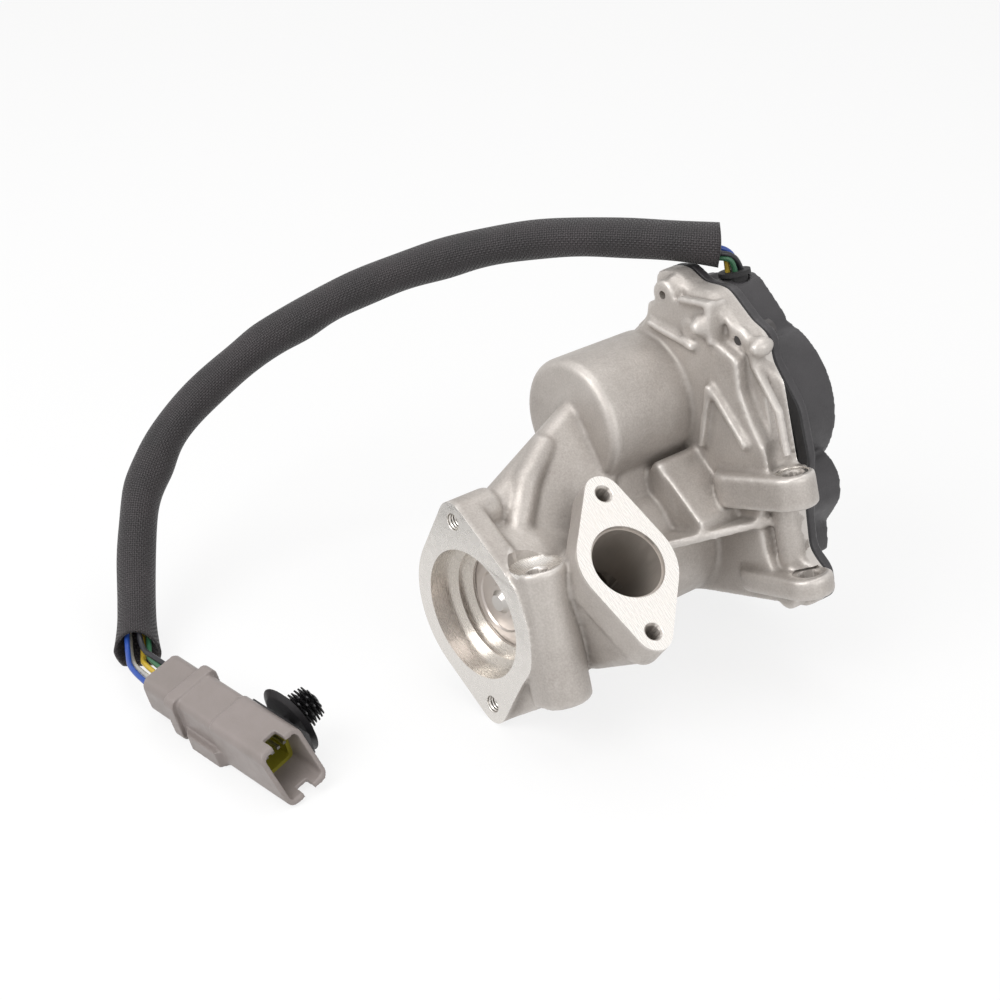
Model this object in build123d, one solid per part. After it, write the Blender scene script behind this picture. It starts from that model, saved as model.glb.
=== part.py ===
from build123d import *
from math import acos, atan2, cos, degrees, pi, radians, sin, sqrt, tan
import os

os.makedirs("parts", exist_ok=True)

# An electrically driven exhaust gas recirculation valve with its sleeved lead and five-way connector.
# The valve is drawn in its casting's frame, in millimetres: +X from the inlet face along the valve stem,
# +Z along the clamp bolts, -Y towards the side port. It lies on a table turned by LEAN about X, so every
# piece of it is turned by that angle when it is written. The origin is the centre of the inlet face.
# The lead and its connector are drawn where they lie, in the turned frame.

LEAN = 18.8                      # how far the casting leans on the table, degrees

# Fits
SLIDE_FIT = 0.05                 # radial clearance of shafts and of the stem in their bores
AIR = 0.3                        # gap between faces of different bodies that only pass each other

# Inlet flange and valve body
INLET_PLATE_R = 29.5
INLET_EAR_R = 7.0
INLET_HOLE_REACH = 32.5          # bolt hole to the bore's centre
INLET_THICK = 9.0
INLET_EAR_DEPTH = 17.0           # the ears carry on behind the flange as bosses
TAPPED_R = 2.5                   # M6 tapped hole, drawn at its minor radius
TAPPED_MOUTH_R = 3.3             # countersink of a tapped hole
INLET_BORE_R = 22.75
INLET_BORE_DEPTH = 9.5
INLET_STEP_R = 19.8
INLET_STEP_DEPTH = 13.5
BODY_R = 24.0                    # round body that holds the stem and the cam
CHAMBER_R = 16.0
CHAMBER_END = 48.0

# Poppet, stem and seat
SEAT_FRONT = 14.8
SEAT_THICK = 4.5
SEAT_R = 17.0
THROAT_R = 10.8
DISC_R = 13.0
DISC_THICK = 2.6
SEAT_GAP = 0.05                  # the closed disc stands this far off its seat
STEM_R = 3.0
STEM_END = 98.0
RIVET_R = 4.2
RIVET_HEIGHT = 1.6
LIFT = 8.0                       # full opening of the valve

# Guide bush and seal of the stem
BUSH_R = 5.5
BUSH_START = 44.0
BUSH_END = 59.0
SEAL_R = 7.5
SEAL_THICK = 3.0
CROSSHEAD_X = 88.6               # block that holds the cross pin and slides in the guide
CROSSHEAD_LENGTH = 8.4

# Straight guide, cross pin and cam
CAM_ROOM_START = 76.0
CAM_ROOM_R = 17.0
GUIDE_FLANGE_THICK = 3.0
GUIDE_R = 9.8
GUIDE_BORE_R = 7.4
GUIDE_END = 99.0
PIN_X = 93.0
PIN_R = 2.0
PIN_REACH = 13.9
ROLLER_R = 3.0
ROLLER_THICK = 2.4
DRUM_START = 79.6
DRUM_R = 14.2
DRUM_BORE_R = 10.6
DRUM_TURN = 60.0                 # the output gear turns this far to open the valve
DRUM_BUSH_LENGTH = 6.0
SPRING_WIRE_R = 0.75             # torsion spring that turns the drum back
SPRING_TURNS = 4

# Gear train
MOTOR_Z = 48.6                   # motor shaft above the valve stem
SHAFT_MODULE = 0.8
MOTOR_PINION_TEETH = 12
WHEEL_TEETH = 60
SECTOR_MODULE = 1.0
SMALL_PINION_TEETH = 16
SECTOR_TEETH = 84                # teeth of the full circle that the sector is cut from
BACKLASH = 0.10                  # taken off each side of a tooth
FIRST_STAGE_X = 104.0
FIRST_STAGE_WIDTH = 5.5
SECOND_STAGE_X = 110.6
SECOND_STAGE_WIDTH = 5.4
SECTOR_LEAD = 66.0               # from the mesh back to the sector's trailing end, degrees
SECTOR_TAIL = 9.0                # from the mesh to its leading end, degrees
SECTOR_SPOKE_R = 35.0
AXLE_R = 2.0
OUTPUT_STUB_R = 5.0

# Motor
MOTOR_WALL_R = 22.9
MOTOR_FACE_X = 54.0
MOTOR_BORE_R = 19.3
MOTOR_END_WALL = 3.5
NECK_START = 18.0               # the neck rises from here to the motor
CAN_R = 19.0
CAN_WALL = 1.4
CAN_LENGTH = 37.0
MAGNET_THICK = 4.0
MAGNET_LENGTH = 27.0
ARMATURE_R = 12.9
ARMATURE_LENGTH = 18.0
ARMATURE_INSET = 8.0             # from the can's closed end
WINDING_END = 2.2
COMMUTATOR_R = 5.0
COMMUTATOR_LENGTH = 6.4
SHAFT_R = 1.6
MOTOR_PLATE_R = 19.0
MOTOR_PLATE_THICK = 3.0

# Gearbox wall of the casting
PLATEAU_X = 90.0                 # raised pads behind the gearbox wall
RIM_X = 96.0                     # back of the gearbox rim
PARTING_X = 102.0                # where the cover meets the casting
POCKET_DEPTH = 4.0
RIM_WALL = 4.0
BOLT_X = 95.3                    # clamp bolt beside the gearbox
BOLT_Y = -60.0
CLAMP_R = 3.3                    # clearance for an M6 clamp bolt
CAST_ROUND = 1.2                 # rounding of the casting's free edges
BARREL_ROUND = 3.0               # rounding of the motor barrel's end
LUG_END_R = 8.2
LUG_TOP = 24.5
LUG_HEIGHT = 11.8
SOCKET_R = 7.4                   # room for a socket wrench above the lug
FOOT_R = 8.6
FOOT_TOP = -11.0
FOOT_BOTTOM = -18.5
PILLAR_R = 3.8
PILLAR_SHIFT = (2.4, 8.6)        # pillar's centre from the bolt's

# Upright clamp boss beside the inlet
BOSS_X = 10.0
BOSS_Y = -27.2
BOSS_R = 9.9
BOSS_TOP = 18.0
BOSS_BOTTOM = -29.4
SPOT_FACE_R = 8.6
SPOT_FACE_DEPTH = 2.2

# Side port
PORT_X = 32.6
PORT_RISE = 37.7                 # the port's axis above level, degrees
PORT_REACH = 44.5                # port face from the stem's axis, along the port
PORT_DROP = 17.5                 # the port's axis passes this far below the stem's
PORT_BORE_R = 12.9
PORT_DUCT_R = 17.0
PORT_TURN = 15.7                 # the port flange's long axis, turned about the port
PORT_PLATE_R = 17.8
PORT_EAR_R = 6.6
PORT_HOLE_REACH = 25.0
PORT_THICK = 12.0
LINER_WALL = 0.8
LINER_LENGTH = 26.0
LINER_RECESS = 1.2

# Gear cover
GASKET_THICK = 0.8
COVER_FLANGE = 3.6
COVER_WALL = 2.3
COVER_ROOM_X = 118.0             # inner face of the cover's low floor
WHEEL_DOME_X = 123.0             # outer face of the dome over the wheel
BOARD_THICK = 1.4
SECTOR_ROOM_R = 44.2
WHEEL_ROOM_R = 26.4
HUB_ROOM_R = 17.0
PINION_ROOM_R = 8.0
SCREW_R = 1.7
SCREW_HEAD_R = 3.4
SCREW_HEAD = 2.6
SCREW_LENGTH = 12.0
# Cover screws, (Y, Z)
SCREWS = [(-17.5, 84.5), (-45.8, 68.6), (28.5, 40.0), (34.0, -20.0), (-52.5, -19.0)]

# Lead: sleeve, wires and grommet
SLEEVE_R = 6.8
SLEEVE_WALL = 1.1
WIRE_R = 0.95
STRAND_R = 4.0                   # wires stand this far off the sleeve's middle line
GROMMET_R = 5.6
GROMMET_PITCH_R = 2.4
GROMMET_TOP = 85.0
GROMMET_X = 115.0
GROMMET_Y = -27.0

# Connector, in its own frame: x towards the open end, y to the clip's side, z up
CONNECTOR_HEADING = -82.6        # of the open end, degrees about the table's normal
CONNECTOR_ROLL = 15.0            # propped up by its clip
CONNECTOR_CORNER = (-78.3, -6.8)  # where the socket's lower left corner meets the table
CONNECTOR_LENGTH = 70.0
SOCKET_WIDTH = 17.0
SOCKET_HEIGHT = 19.0
SOCKET_WALL = 1.7
SOCKET_DEPTH = 24.0
SOCKET_SLANT = 9.0               # the top wall ends this far behind the bottom one
CAP_LENGTH = 14.0
CAP_WIDTH = 16.5
CAP_HEIGHT = 15.5
COLLAR_LENGTH = 4.6
COLLAR_WIDTH = 20.0
SOCKET_STEP = 34.0               # the fuller front of the socket starts here
PIN_COUNT = 5
PIN_PITCH = 2.6
PIN_LEVEL = 0.0
TERMINAL = 1.2
TERMINAL_REAR = 40.0
TERMINAL_REACH = 9.0             # blades stand this far into the socket
SEAL_LENGTH = 9.0
CLIP_DISC_R = 11.0
CLIP_STEM_R = 2.4
CLIP_REACH = 17.0
CLIP_PLACE = (-19.5, 1.5)

# ---------------------------------------------------------------- shared geometry


UPWARD = (Align.CENTER, Align.CENTER, Align.MIN)


def rod(x0, x1, radius, y=0.0, z=0.0):
    """A round bar along X."""
    return Pos(x0, y, z) * Rot(0, 90, 0) * Cylinder(radius, x1 - x0, align=UPWARD)


def sleeve(x0, x1, outer, inner, y=0.0, z=0.0):
    """A round tube along X."""
    return rod(x0, x1, outer, y, z) - rod(x0 - 1, x1 + 1, inner, y, z)


def post(z0, z1, radius, x, y):
    """A round bar along Z."""
    return Pos(x, y, z0) * Cylinder(radius, z1 - z0, align=UPWARD)


def cone_x(x0, x1, r0, r1, y=0.0, z=0.0):
    """A taper along X, of radius r0 at x0 and r1 at x1."""
    return Pos(x0, y, z) * Rot(0, 90, 0) * Cone(r0, r1, x1 - x0, align=UPWARD)


def slab(sketch, x0, x1):
    """A sketch of (Y, Z) points carried from x0 to x1."""
    return extrude(Plane.YZ.offset(x0) * sketch, amount=x1 - x0)


def block(x0, x1, y0, y1, z0, z1):
    return Pos((x0 + x1) / 2, (y0 + y1) / 2, (z0 + z1) / 2) * Box(x1 - x0, y1 - y0, z1 - z0)


def disc_at(radius, x=0.0, y=0.0):
    return Pos(x, y) * Circle(radius)


def wrap(*circles):
    """The outline that a belt round some circles makes, each given as (x, y, radius)."""
    edges = []
    for x, y, radius in circles:
        edges += disc_at(radius, x, y).edges()
    return make_hull(edges)


def eased(solid, radius, axis, ends=(0, -1)):
    """Round the edges of a solid's faces at its two ends along an axis, or at one of them."""
    faces = solid.faces().filter_by(axis).sort_by(axis)
    edges = ShapeList()
    for end in ends:
        edges += faces[end].edges()
    return fillet(edges, radius)


def rounded(corners):
    """A closed outline of (x, y, corner radius)."""
    path = FilletPolyline(*[(x, y) for x, y, _ in corners], radius=[r for _, _, r in corners], close=True)
    return make_face(path)


# The port's frame: z out of its face, x along the valve, y up the face
PORT_NORMAL = Vector(0, -cos(radians(PORT_RISE)), sin(radians(PORT_RISE)))
PORT_UP = Vector(0, sin(radians(PORT_RISE)), cos(radians(PORT_RISE)))
PORT_CENTRE = Vector(PORT_X, 0, 0) + PORT_NORMAL * PORT_REACH - PORT_UP * PORT_DROP
PORT = Plane(origin=PORT_CENTRE, x_dir=(1, 0, 0), z_dir=PORT_NORMAL)

# Gear axles: the wheel stands at its two meshing distances from the motor shaft and the valve stem
FIRST_CENTRES = SHAFT_MODULE * (MOTOR_PINION_TEETH + WHEEL_TEETH) / 2
SECOND_CENTRES = SECTOR_MODULE * (SMALL_PINION_TEETH + SECTOR_TEETH) / 2
WHEEL_Z = (SECOND_CENTRES**2 - FIRST_CENTRES**2 + MOTOR_Z**2) / (2 * MOTOR_Z)
WHEEL_Y = -sqrt(SECOND_CENTRES**2 - WHEEL_Z**2)
MESH_ANGLE = degrees(atan2(WHEEL_Z, WHEEL_Y))          # of the wheel seen from the stem
MOTOR_ANGLE = degrees(atan2(WHEEL_Z - MOTOR_Z, WHEEL_Y))  # of the wheel seen from the motor shaft

# The rear foot's edge meets the table with the inlet flange's lower ear
REAR_FOOT_R = 7.0
REAR_FOOT_Y = 34.0
TABLE_Z = -INLET_HOLE_REACH * cos(radians(LEAN)) - INLET_EAR_R
REAR_FOOT_Z = (TABLE_Z + REAR_FOOT_R + REAR_FOOT_Y * sin(radians(LEAN))) / cos(radians(LEAN))

# Gearbox rim, (Y, Z, corner radius)
RIM_OUTLINE = [
    (-10.0, 91.5, 4.0),
    (-19.5, 91.5, 7.0),
    (-26.5, 86.0, 8.0),
    (-37.0, 84.5, 9.0),
    (-46.0, 73.5, 8.0),
    (-53.0, 68.5, 6.0),
    (-52.5, 60.0, 9.0),
    (-60.5, 44.0, 14.0),
    (-61.0, 26.0, 9.0),
    (-56.5, 12.0, 9.0),
    (-55.0, -6.0, 8.0),
    (-60.5, -13.0, 6.0),
    (-60.0, -24.5, 6.0),
    (-40.0, FOOT_BOTTOM - 6.8, 20.0),
    (REAR_FOOT_Y + REAR_FOOT_R, REAR_FOOT_Z - REAR_FOOT_R, 6.9),
    (REAR_FOOT_Y + REAR_FOOT_R, -8.0, 8.0),
    (30.0, 8.0, 12.0),
    (34.5, 30.0, 8.0),
    (34.5, 46.0, 8.0),
    (20.0, 60.0, 10.0),
    (8.0, 70.0, 12.0),
    (-4.0, 78.0, 6.0),
]
rim_outline = rounded(RIM_OUTLINE)

# Pocket of the casting under the cover: inside the rim, clear of the screws
screw_lands = [disc_at(5.4, y, z) for y, z in SCREWS]
pocket_outline = offset(rim_outline, -RIM_WALL)
for land in screw_lands:
    pocket_outline = pocket_outline - land
cover_limit = pocket_outline
wrench_land = BOLT_Y + SOCKET_R + 3
pocket_outline = pocket_outline - Pos(wrench_land - 20, LUG_TOP + 16) * Rectangle(40, 44)


def pie(radius, first, last):
    """A sector of a disc about the origin between two angles."""
    steps = [first + (last - first) * k / 4 for k in range(5)]
    reach = radius * 1.5
    fan = [(0, 0)] + [(reach * cos(radians(a)), reach * sin(radians(a))) for a in steps]
    return Circle(radius) & make_face(Polyline(*fan, close=True))


# Room in the cover for everything that turns
sector_first = MESH_ANGLE - SECTOR_LEAD - 3
sector_last = MESH_ANGLE + SECTOR_TAIL + DRUM_TURN + 3
cover_room = pie(SECTOR_ROOM_R, sector_first, sector_last)
cover_room += disc_at(WHEEL_ROOM_R, WHEEL_Y, WHEEL_Z)
cover_room += disc_at(HUB_ROOM_R)
cover_room += disc_at(PINION_ROOM_R, 0, MOTOR_Z)
cover_room += wrap((-12, 66, 8), (GROMMET_Y, 76, 6), (-2, 76, 6))
for land in screw_lands:
    cover_room = cover_room - land
cover_room = cover_room & cover_limit


def gear_outline(module, teeth, turned, pressure=25.0, only=None):
    """A gear's outline with one tooth centred on the angle `turned`; `only` limits it to (first, last) angles."""
    pitch = module * teeth / 2
    base = pitch * cos(radians(pressure))
    tip = pitch + 0.95 * module
    root = pitch - 1.2 * module
    half_tooth = pi / (2 * teeth) - BACKLASH / pitch
    involute = tan(radians(pressure)) - radians(pressure)

    def half_angle(radius):
        slope = acos(min(1.0, base / max(radius, base)))
        return half_tooth + involute - (tan(slope) - slope)

    low = max(base, root)
    flank = [root, low] if low - root > 0.05 else [low]
    flank += [low + (tip - low) * k / 3 for k in (1, 2, 3)]
    points = []
    for k in range(teeth):
        middle = radians(turned) + 2 * pi * k / teeth
        if only and not only[0] <= degrees(middle) <= only[1]:
            continue
        rising = [(r, middle - half_angle(r)) for r in flank]
        falling = [(r, middle + half_angle(r)) for r in reversed(flank)]
        points += [(r * cos(a), r * sin(a)) for r, a in rising + falling]
    if only:
        points.append((0, 0))
    return make_face(Polyline(*points, close=True))


# ---------------------------------------------------------------- casting


def inlet_flange():
    ears = [(0, s * INLET_HOLE_REACH) for s in (1, -1)]
    outline = wrap((0, 0, INLET_PLATE_R), *[(y, z, INLET_EAR_R) for y, z in ears])
    flange = eased(slab(outline, 0, INLET_THICK), CAST_ROUND, Axis.X, ends=[-1])
    for y, z in ears:
        flange += eased(rod(0, INLET_EAR_DEPTH, INLET_EAR_R, y, z), 2 * CAST_ROUND, Axis.X, ends=[-1])
    return flange


def clamp_boss():
    boss = eased(post(BOSS_BOTTOM, BOSS_TOP, BOSS_R, BOSS_X, BOSS_Y), CAST_ROUND, Axis.Z)
    fairing = wrap((BOSS_X + 1, BOSS_Y, BOSS_R - 2), (BOSS_X + 12, -10, 12))
    boss += Pos(0, 0, BOSS_BOTTOM + 5) * extrude(fairing, amount=BOSS_TOP - BOSS_BOTTOM - 9)
    tie = wrap((BOSS_Y, BOSS_BOTTOM + 9, 8), (0, -INLET_HOLE_REACH, INLET_EAR_R), (-6, -14, 10))
    boss += slab(tie, 3, INLET_THICK + 3)
    return boss


def port_block():
    depth = PORT_THICK
    turn = radians(PORT_TURN)
    ears = [(s * PORT_HOLE_REACH * sin(turn), s * PORT_HOLE_REACH * cos(turn)) for s in (1, -1)]
    outline = wrap((0, 0, PORT_PLATE_R), *[(u, v, PORT_EAR_R) for u, v in ears])
    plate = PORT * eased(extrude(outline, amount=-depth), CAST_ROUND, Axis.Z, ends=[0])
    duct_depth = PORT_REACH - 4
    duct = extrude(PORT * Circle(PORT_DUCT_R), amount=-duct_depth)
    duct += Pos(PORT_CENTRE - PORT_NORMAL * duct_depth) * Sphere(PORT_DUCT_R)
    low_ear = ears[1]
    near = wrap((0, 0, PORT_DUCT_R - 1), (*low_ear, PORT_EAR_R - 0.4))
    far = wrap((0, 0, PORT_DUCT_R - 1), (low_ear[0] * 0.9, low_ear[1] * 0.55, PORT_EAR_R - 0.4))
    web = loft([PORT * Pos(0, 0, -depth + 2) * near, PORT * Pos(0, 0, -PORT_REACH + 8) * far])
    return plate + duct + web


def motor_barrel():
    """Barrel round the motor, with the roof-shaped neck that carries it from the inlet."""
    barrel = eased(rod(MOTOR_FACE_X, PLATEAU_X + 2, MOTOR_WALL_R, 0, MOTOR_Z), BARREL_ROUND, Axis.X, ends=[0])
    low = Plane.YZ.offset(NECK_START) * wrap((0, 31.5, 7.0), (-11, 8, 7.5), (14, 8, 7.5))
    high = Plane.YZ.offset(MOTOR_FACE_X + 4) * wrap((-1, 54.5, 4.5), (-9, 30, 6), (14, 30, 6))
    neck = loft([low, high])
    web = slab(wrap((0, 0, 14), (0, MOTOR_Z, 14)), MOTOR_FACE_X + 3, PLATEAU_X + 2)
    return barrel + neck + web


def gearbox_wall():
    wall = slab(rim_outline, RIM_X, PARTING_X)
    pads = slab(offset(rim_outline, -3.0) & shoulder_outline(), PLATEAU_X, RIM_X)
    wall += pads
    for y, z in SCREWS:
        wall += rod(PLATEAU_X, RIM_X, 5.0, y, z)
    foot = (REAR_FOOT_Y, REAR_FOOT_Z)
    wall += rod(84, RIM_X, REAR_FOOT_R, *foot)
    return wall


def shoulder_outline():
    """Raised back of the gearbox wall round the motor and the wheel."""
    return rounded(
        [
            (24, 62, 5),
            (4, 71, 6),
            (4, 82, 3),
            (-30, 82, 5),
            (-36, 74, 5),
            (-34, 64, 4),
            (-41, 54, 5),
            (-44, 40, 5),
            (-57, 31, 6),
            (-57, 20, 6),
            (-46, 8, 8),
            (-46, -8, 8),
            (-54, -14, 5),
            (-54, -24, 4),
            (30, -24, 6),
            (26, 10, 8),
        ]
    )


def side_details():
    """Block beside the motor, web over the lug, rib between them."""
    cheek = wrap((-19, 28, 3), (-24.5, 7, 3), (-8, 14, 3))
    details = eased(slab(cheek, 72, PLATEAU_X + 1), CAST_ROUND, Axis.X, ends=[0])
    web = make_face(Polyline((50, -18), (52, -25.5), (RIM_X, -50), (RIM_X, -10), close=True))
    details += Pos(0, 0, 4.5) * extrude(web, amount=3)
    for low_y, low_z in ((-24, 33), (-43, 36)):
        rib = Polyline((-34, 56), (low_y, low_z), close=False)
        details += slab(trace(rib, 2.4), PLATEAU_X - 2.5, RIM_X)
    for y, z in ((-28, 73), (-52, 66)):
        details += eased(rod(PLATEAU_X - 1, RIM_X, 3.5, y, z), CAST_ROUND / 2, Axis.X, ends=[0])
    return details


def side_lug():
    """Lug and foot that a long clamp bolt runs through, with the pillar between them."""
    lug_bottom = LUG_TOP - LUG_HEIGHT
    front = PARTING_X - GASKET_THICK
    arm = wrap((BOLT_X - 1, BOLT_Y, LUG_END_R), (BOLT_X - 4, -38, LUG_END_R))
    lug = eased(Pos(0, 0, lug_bottom) * extrude(arm, amount=LUG_HEIGHT), CAST_ROUND, Axis.Z)
    tab = wrap((BOLT_X - 1, BOLT_Y, FOOT_R), (BOLT_X - 1, -40, FOOT_R))
    lug += eased(Pos(0, 0, FOOT_BOTTOM) * extrude(tab, amount=FOOT_TOP - FOOT_BOTTOM), CAST_ROUND, Axis.Z)
    lug += post(FOOT_TOP, lug_bottom, PILLAR_R, BOLT_X + PILLAR_SHIFT[0], BOLT_Y + PILLAR_SHIFT[1])
    return lug & block(60, front, -90, -20, -60, 60)


def tapped_hole(plane, depth):
    hole = extrude(plane * Circle(TAPPED_R), amount=-depth)
    mouth = plane * Pos(0, 0, -(TAPPED_MOUTH_R - TAPPED_R) / 2) * Cone(
        TAPPED_R, TAPPED_MOUTH_R, TAPPED_MOUTH_R - TAPPED_R
    )
    return hole + mouth


def stem_bores():
    cuts = rod(-1, INLET_BORE_DEPTH, INLET_BORE_R)
    cuts += rod(0, INLET_STEP_DEPTH, INLET_STEP_R)
    cuts += rod(0, SEAT_FRONT + SEAT_THICK, SEAT_R)
    cuts += rod(0, CHAMBER_END, CHAMBER_R)
    cuts += rod(0, BUSH_END, BUSH_R)
    cuts += rod(BUSH_END, PARTING_X, SEAL_R)
    cuts += rod(CAM_ROOM_START, PARTING_X + 1, CAM_ROOM_R)
    return cuts


def housing():
    casting = rod(0, PLATEAU_X + 2, BODY_R)
    casting += inlet_flange()
    casting += clamp_boss()
    casting += port_block()
    casting += motor_barrel()
    casting += gearbox_wall()
    casting += side_details()
    casting += side_lug()
    casting -= post(LUG_TOP, 60, SOCKET_R, BOLT_X, BOLT_Y)
    casting -= stem_bores()
    port_way = extrude(PORT * Circle(PORT_BORE_R), amount=-(PORT_REACH - 3))
    port_way += Pos(PORT_CENTRE - PORT_NORMAL * (PORT_REACH - 3)) * Sphere(PORT_BORE_R)
    casting -= port_way
    casting -= rod(MOTOR_FACE_X + MOTOR_END_WALL, PARTING_X + 1, MOTOR_BORE_R, 0, MOTOR_Z)
    casting -= slab(pocket_outline, PARTING_X - POCKET_DEPTH, PARTING_X + 1)
    casting -= post(-60, 60, CLAMP_R, BOSS_X, BOSS_Y)
    spot = Pos(BOSS_X, BOSS_Y, BOSS_TOP - SPOT_FACE_DEPTH / 2) * Cone(CLAMP_R + 1.5, SPOT_FACE_R, SPOT_FACE_DEPTH)
    casting -= spot
    casting -= post(-60, 60, CLAMP_R, BOLT_X, BOLT_Y)
    casting -= post(LUG_TOP - 0.6, LUG_TOP, 5.6, BOLT_X, BOLT_Y)
    casting -= post(FOOT_TOP - 0.6, FOOT_TOP, 5.6, BOLT_X, BOLT_Y)
    for s in (1, -1):
        casting -= tapped_hole(Plane(origin=(0, 0, s * INLET_HOLE_REACH), z_dir=(-1, 0, 0)), 15)
        turn = radians(PORT_TURN)
        at = PORT * Pos(s * PORT_HOLE_REACH * sin(turn), s * PORT_HOLE_REACH * cos(turn), 0)
        casting -= tapped_hole(Plane(at), 11)
    for y, z in SCREWS:
        casting -= rod(PARTING_X - SCREW_LENGTH + COVER_FLANGE + GASKET_THICK - 0.6, PARTING_X + 1, SCREW_R, y, z)
    casting -= rod(PARTING_X - 10, PARTING_X, AXLE_R, WHEEL_Y, WHEEL_Z)
    casting -= rod(PLATEAU_X - 2, PLATEAU_X + 2, 1.3, -10, 85) + rod(PLATEAU_X - 2, PLATEAU_X + 2, 1.3, -44.8, 60)
    return casting


# ---------------------------------------------------------------- valve


def port_liner():
    tube = extrude(PORT * (Circle(PORT_BORE_R) - Circle(PORT_BORE_R - LINER_WALL)), amount=-LINER_LENGTH)
    return Pos(PORT_NORMAL * -LINER_RECESS) * tube


def valve_seat():
    seat = sleeve(SEAT_FRONT, SEAT_FRONT + SEAT_THICK, SEAT_R, THROAT_R)
    return seat - cone_x(SEAT_FRONT + SEAT_THICK - 1.2, SEAT_FRONT + SEAT_THICK, THROAT_R, THROAT_R + 1.2)


DISC_BACK = SEAT_FRONT - SEAT_GAP
DISC_FRONT = DISC_BACK - DISC_THICK


def valve_disc():
    disc = rod(DISC_FRONT, DISC_BACK, DISC_R)
    disc -= cone_x(DISC_FRONT, DISC_FRONT + 0.6, DISC_R - 2.0, DISC_R - 2.6) - rod(0, 30, 6.0)
    return disc - rod(0, 30, STEM_R)


def valve_stem():
    stem = rod(DISC_FRONT, STEM_END, STEM_R)
    stem += rod(DISC_BACK, DISC_BACK + 3.0, STEM_R + 1.2)
    stem += cone_x(DISC_FRONT - RIVET_HEIGHT, DISC_FRONT, RIVET_R - 1.4, RIVET_R)
    return stem - Pos(PIN_X, 0, 0) * Rot(90, 0, 0) * Cylinder(PIN_R, 20)


def drive_pin():
    return Pos(PIN_X, 0, 0) * Rot(90, 0, 0) * Cylinder(PIN_R, 2 * PIN_REACH)


def cam_rollers():
    middle = (DRUM_BORE_R + DRUM_R) / 2 - 0.2
    ring = Cylinder(ROLLER_R, ROLLER_THICK) - Cylinder(PIN_R, ROLLER_THICK + 1)
    return [Pos(PIN_X, s * middle, 0) * Rot(90, 0, 0) * ring for s in (1, -1)]


def stem_bush():
    return sleeve(BUSH_START, BUSH_END, BUSH_R, STEM_R + SLIDE_FIT)


def stem_seal():
    seal = sleeve(BUSH_END, BUSH_END + SEAL_THICK, SEAL_R, STEM_R + SLIDE_FIT)
    return seal - (rod(BUSH_END, BUSH_END + 1.2, SEAL_R - 1.6) - rod(0, 100, STEM_R + 1.4))


def crosshead():
    head = rod(CROSSHEAD_X, CROSSHEAD_X + CROSSHEAD_LENGTH, GUIDE_BORE_R - SLIDE_FIT)
    return head - rod(0, 120, STEM_R) - Pos(PIN_X, 0, 0) * Rot(90, 0, 0) * Cylinder(PIN_R, 30)


def return_spring():
    """Torsion spring in the room between the drum and the casting."""
    start = DRUM_START + SPRING_WIRE_R
    end = PLATEAU_X + 4 - SPRING_WIRE_R
    coil = Helix(pitch=(end - start) / SPRING_TURNS, height=end - start, radius=(DRUM_R + CAM_ROOM_R) / 2)
    wire = sweep(Plane(origin=coil @ 0, z_dir=coil % 0) * Circle(SPRING_WIRE_R), path=coil)
    return Pos(start, 0, 0) * Rot(0, 90, 0) * wire


def guide_sleeve():
    guide = rod(CAM_ROOM_START, CAM_ROOM_START + GUIDE_FLANGE_THICK, CAM_ROOM_R)
    guide += rod(CAM_ROOM_START, GUIDE_END, GUIDE_R)
    guide -= rod(0, 120, GUIDE_BORE_R)
    slot_start = PIN_X - LIFT - PIN_R - 0.5
    return guide - block(slot_start, GUIDE_END + 1, -20, 20, -PIN_R - SLIDE_FIT, PIN_R + SLIDE_FIT)


def cam_slot(angle):
    """A helical slot through the drum's wall, from the closed pin's place at `angle`."""
    steps = 10
    slot = None
    for k in range(steps):
        a = angle - DRUM_TURN * (k + 0.5) / steps
        x = PIN_X - LIFT * (k + 0.5) / steps
        half_arc = radians(DRUM_TURN / steps) / 2 * (DRUM_BORE_R + DRUM_R) / 2
        half_rise = LIFT / steps / 2
        width = ROLLER_R + AIR
        shape = wrap((half_rise, -half_arc, width), (-half_rise, half_arc, width))
        out = Vector(0, cos(radians(a)), sin(radians(a)))
        cut = extrude(Plane(origin=Vector(x, 0, 0) + out * 8, x_dir=(1, 0, 0), z_dir=out) * shape, amount=10)
        slot = cut if slot is None else slot + cut
    return slot


WEB_X = PARTING_X + 2


def output_gear():
    drum = sleeve(DRUM_START, WEB_X, DRUM_R, DRUM_BORE_R)
    drum -= cam_slot(0) + cam_slot(180)
    drum += rod(WEB_X, SECOND_STAGE_X, DRUM_R)
    gear_end = SECOND_STAGE_X + SECOND_STAGE_WIDTH
    tooth = 360 / SECTOR_TEETH
    ends = (MESH_ANGLE - SECTOR_LEAD, MESH_ANGLE + SECTOR_TAIL)
    teeth = gear_outline(SECTOR_MODULE, SECTOR_TEETH, MESH_ANGLE - 46.5 * tooth, only=ends)
    drum += slab(teeth, SECOND_STAGE_X, gear_end)
    drum += rod(SECOND_STAGE_X, gear_end, DRUM_R)
    drum += rod(gear_end, COVER_ROOM_X + 1, OUTPUT_STUB_R)
    window = pie(SECTOR_SPOKE_R, ends[0] + 12, ends[1] - 12) - Circle(DRUM_R + 4)
    window = window - pie(SECTOR_SPOKE_R + 5, MESH_ANGLE - 33.5, MESH_ANGLE - 23.5)
    drum -= slab(window, SECOND_STAGE_X - 1, gear_end + 1)
    return drum - rod(COVER_ROOM_X - 1, COVER_ROOM_X + 2, OUTPUT_STUB_R - 1.4)


def sensor_magnet():
    return rod(COVER_ROOM_X - 1, COVER_ROOM_X + 1, OUTPUT_STUB_R - 1.4)


BOARD_X = COVER_ROOM_X + 2.0


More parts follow.
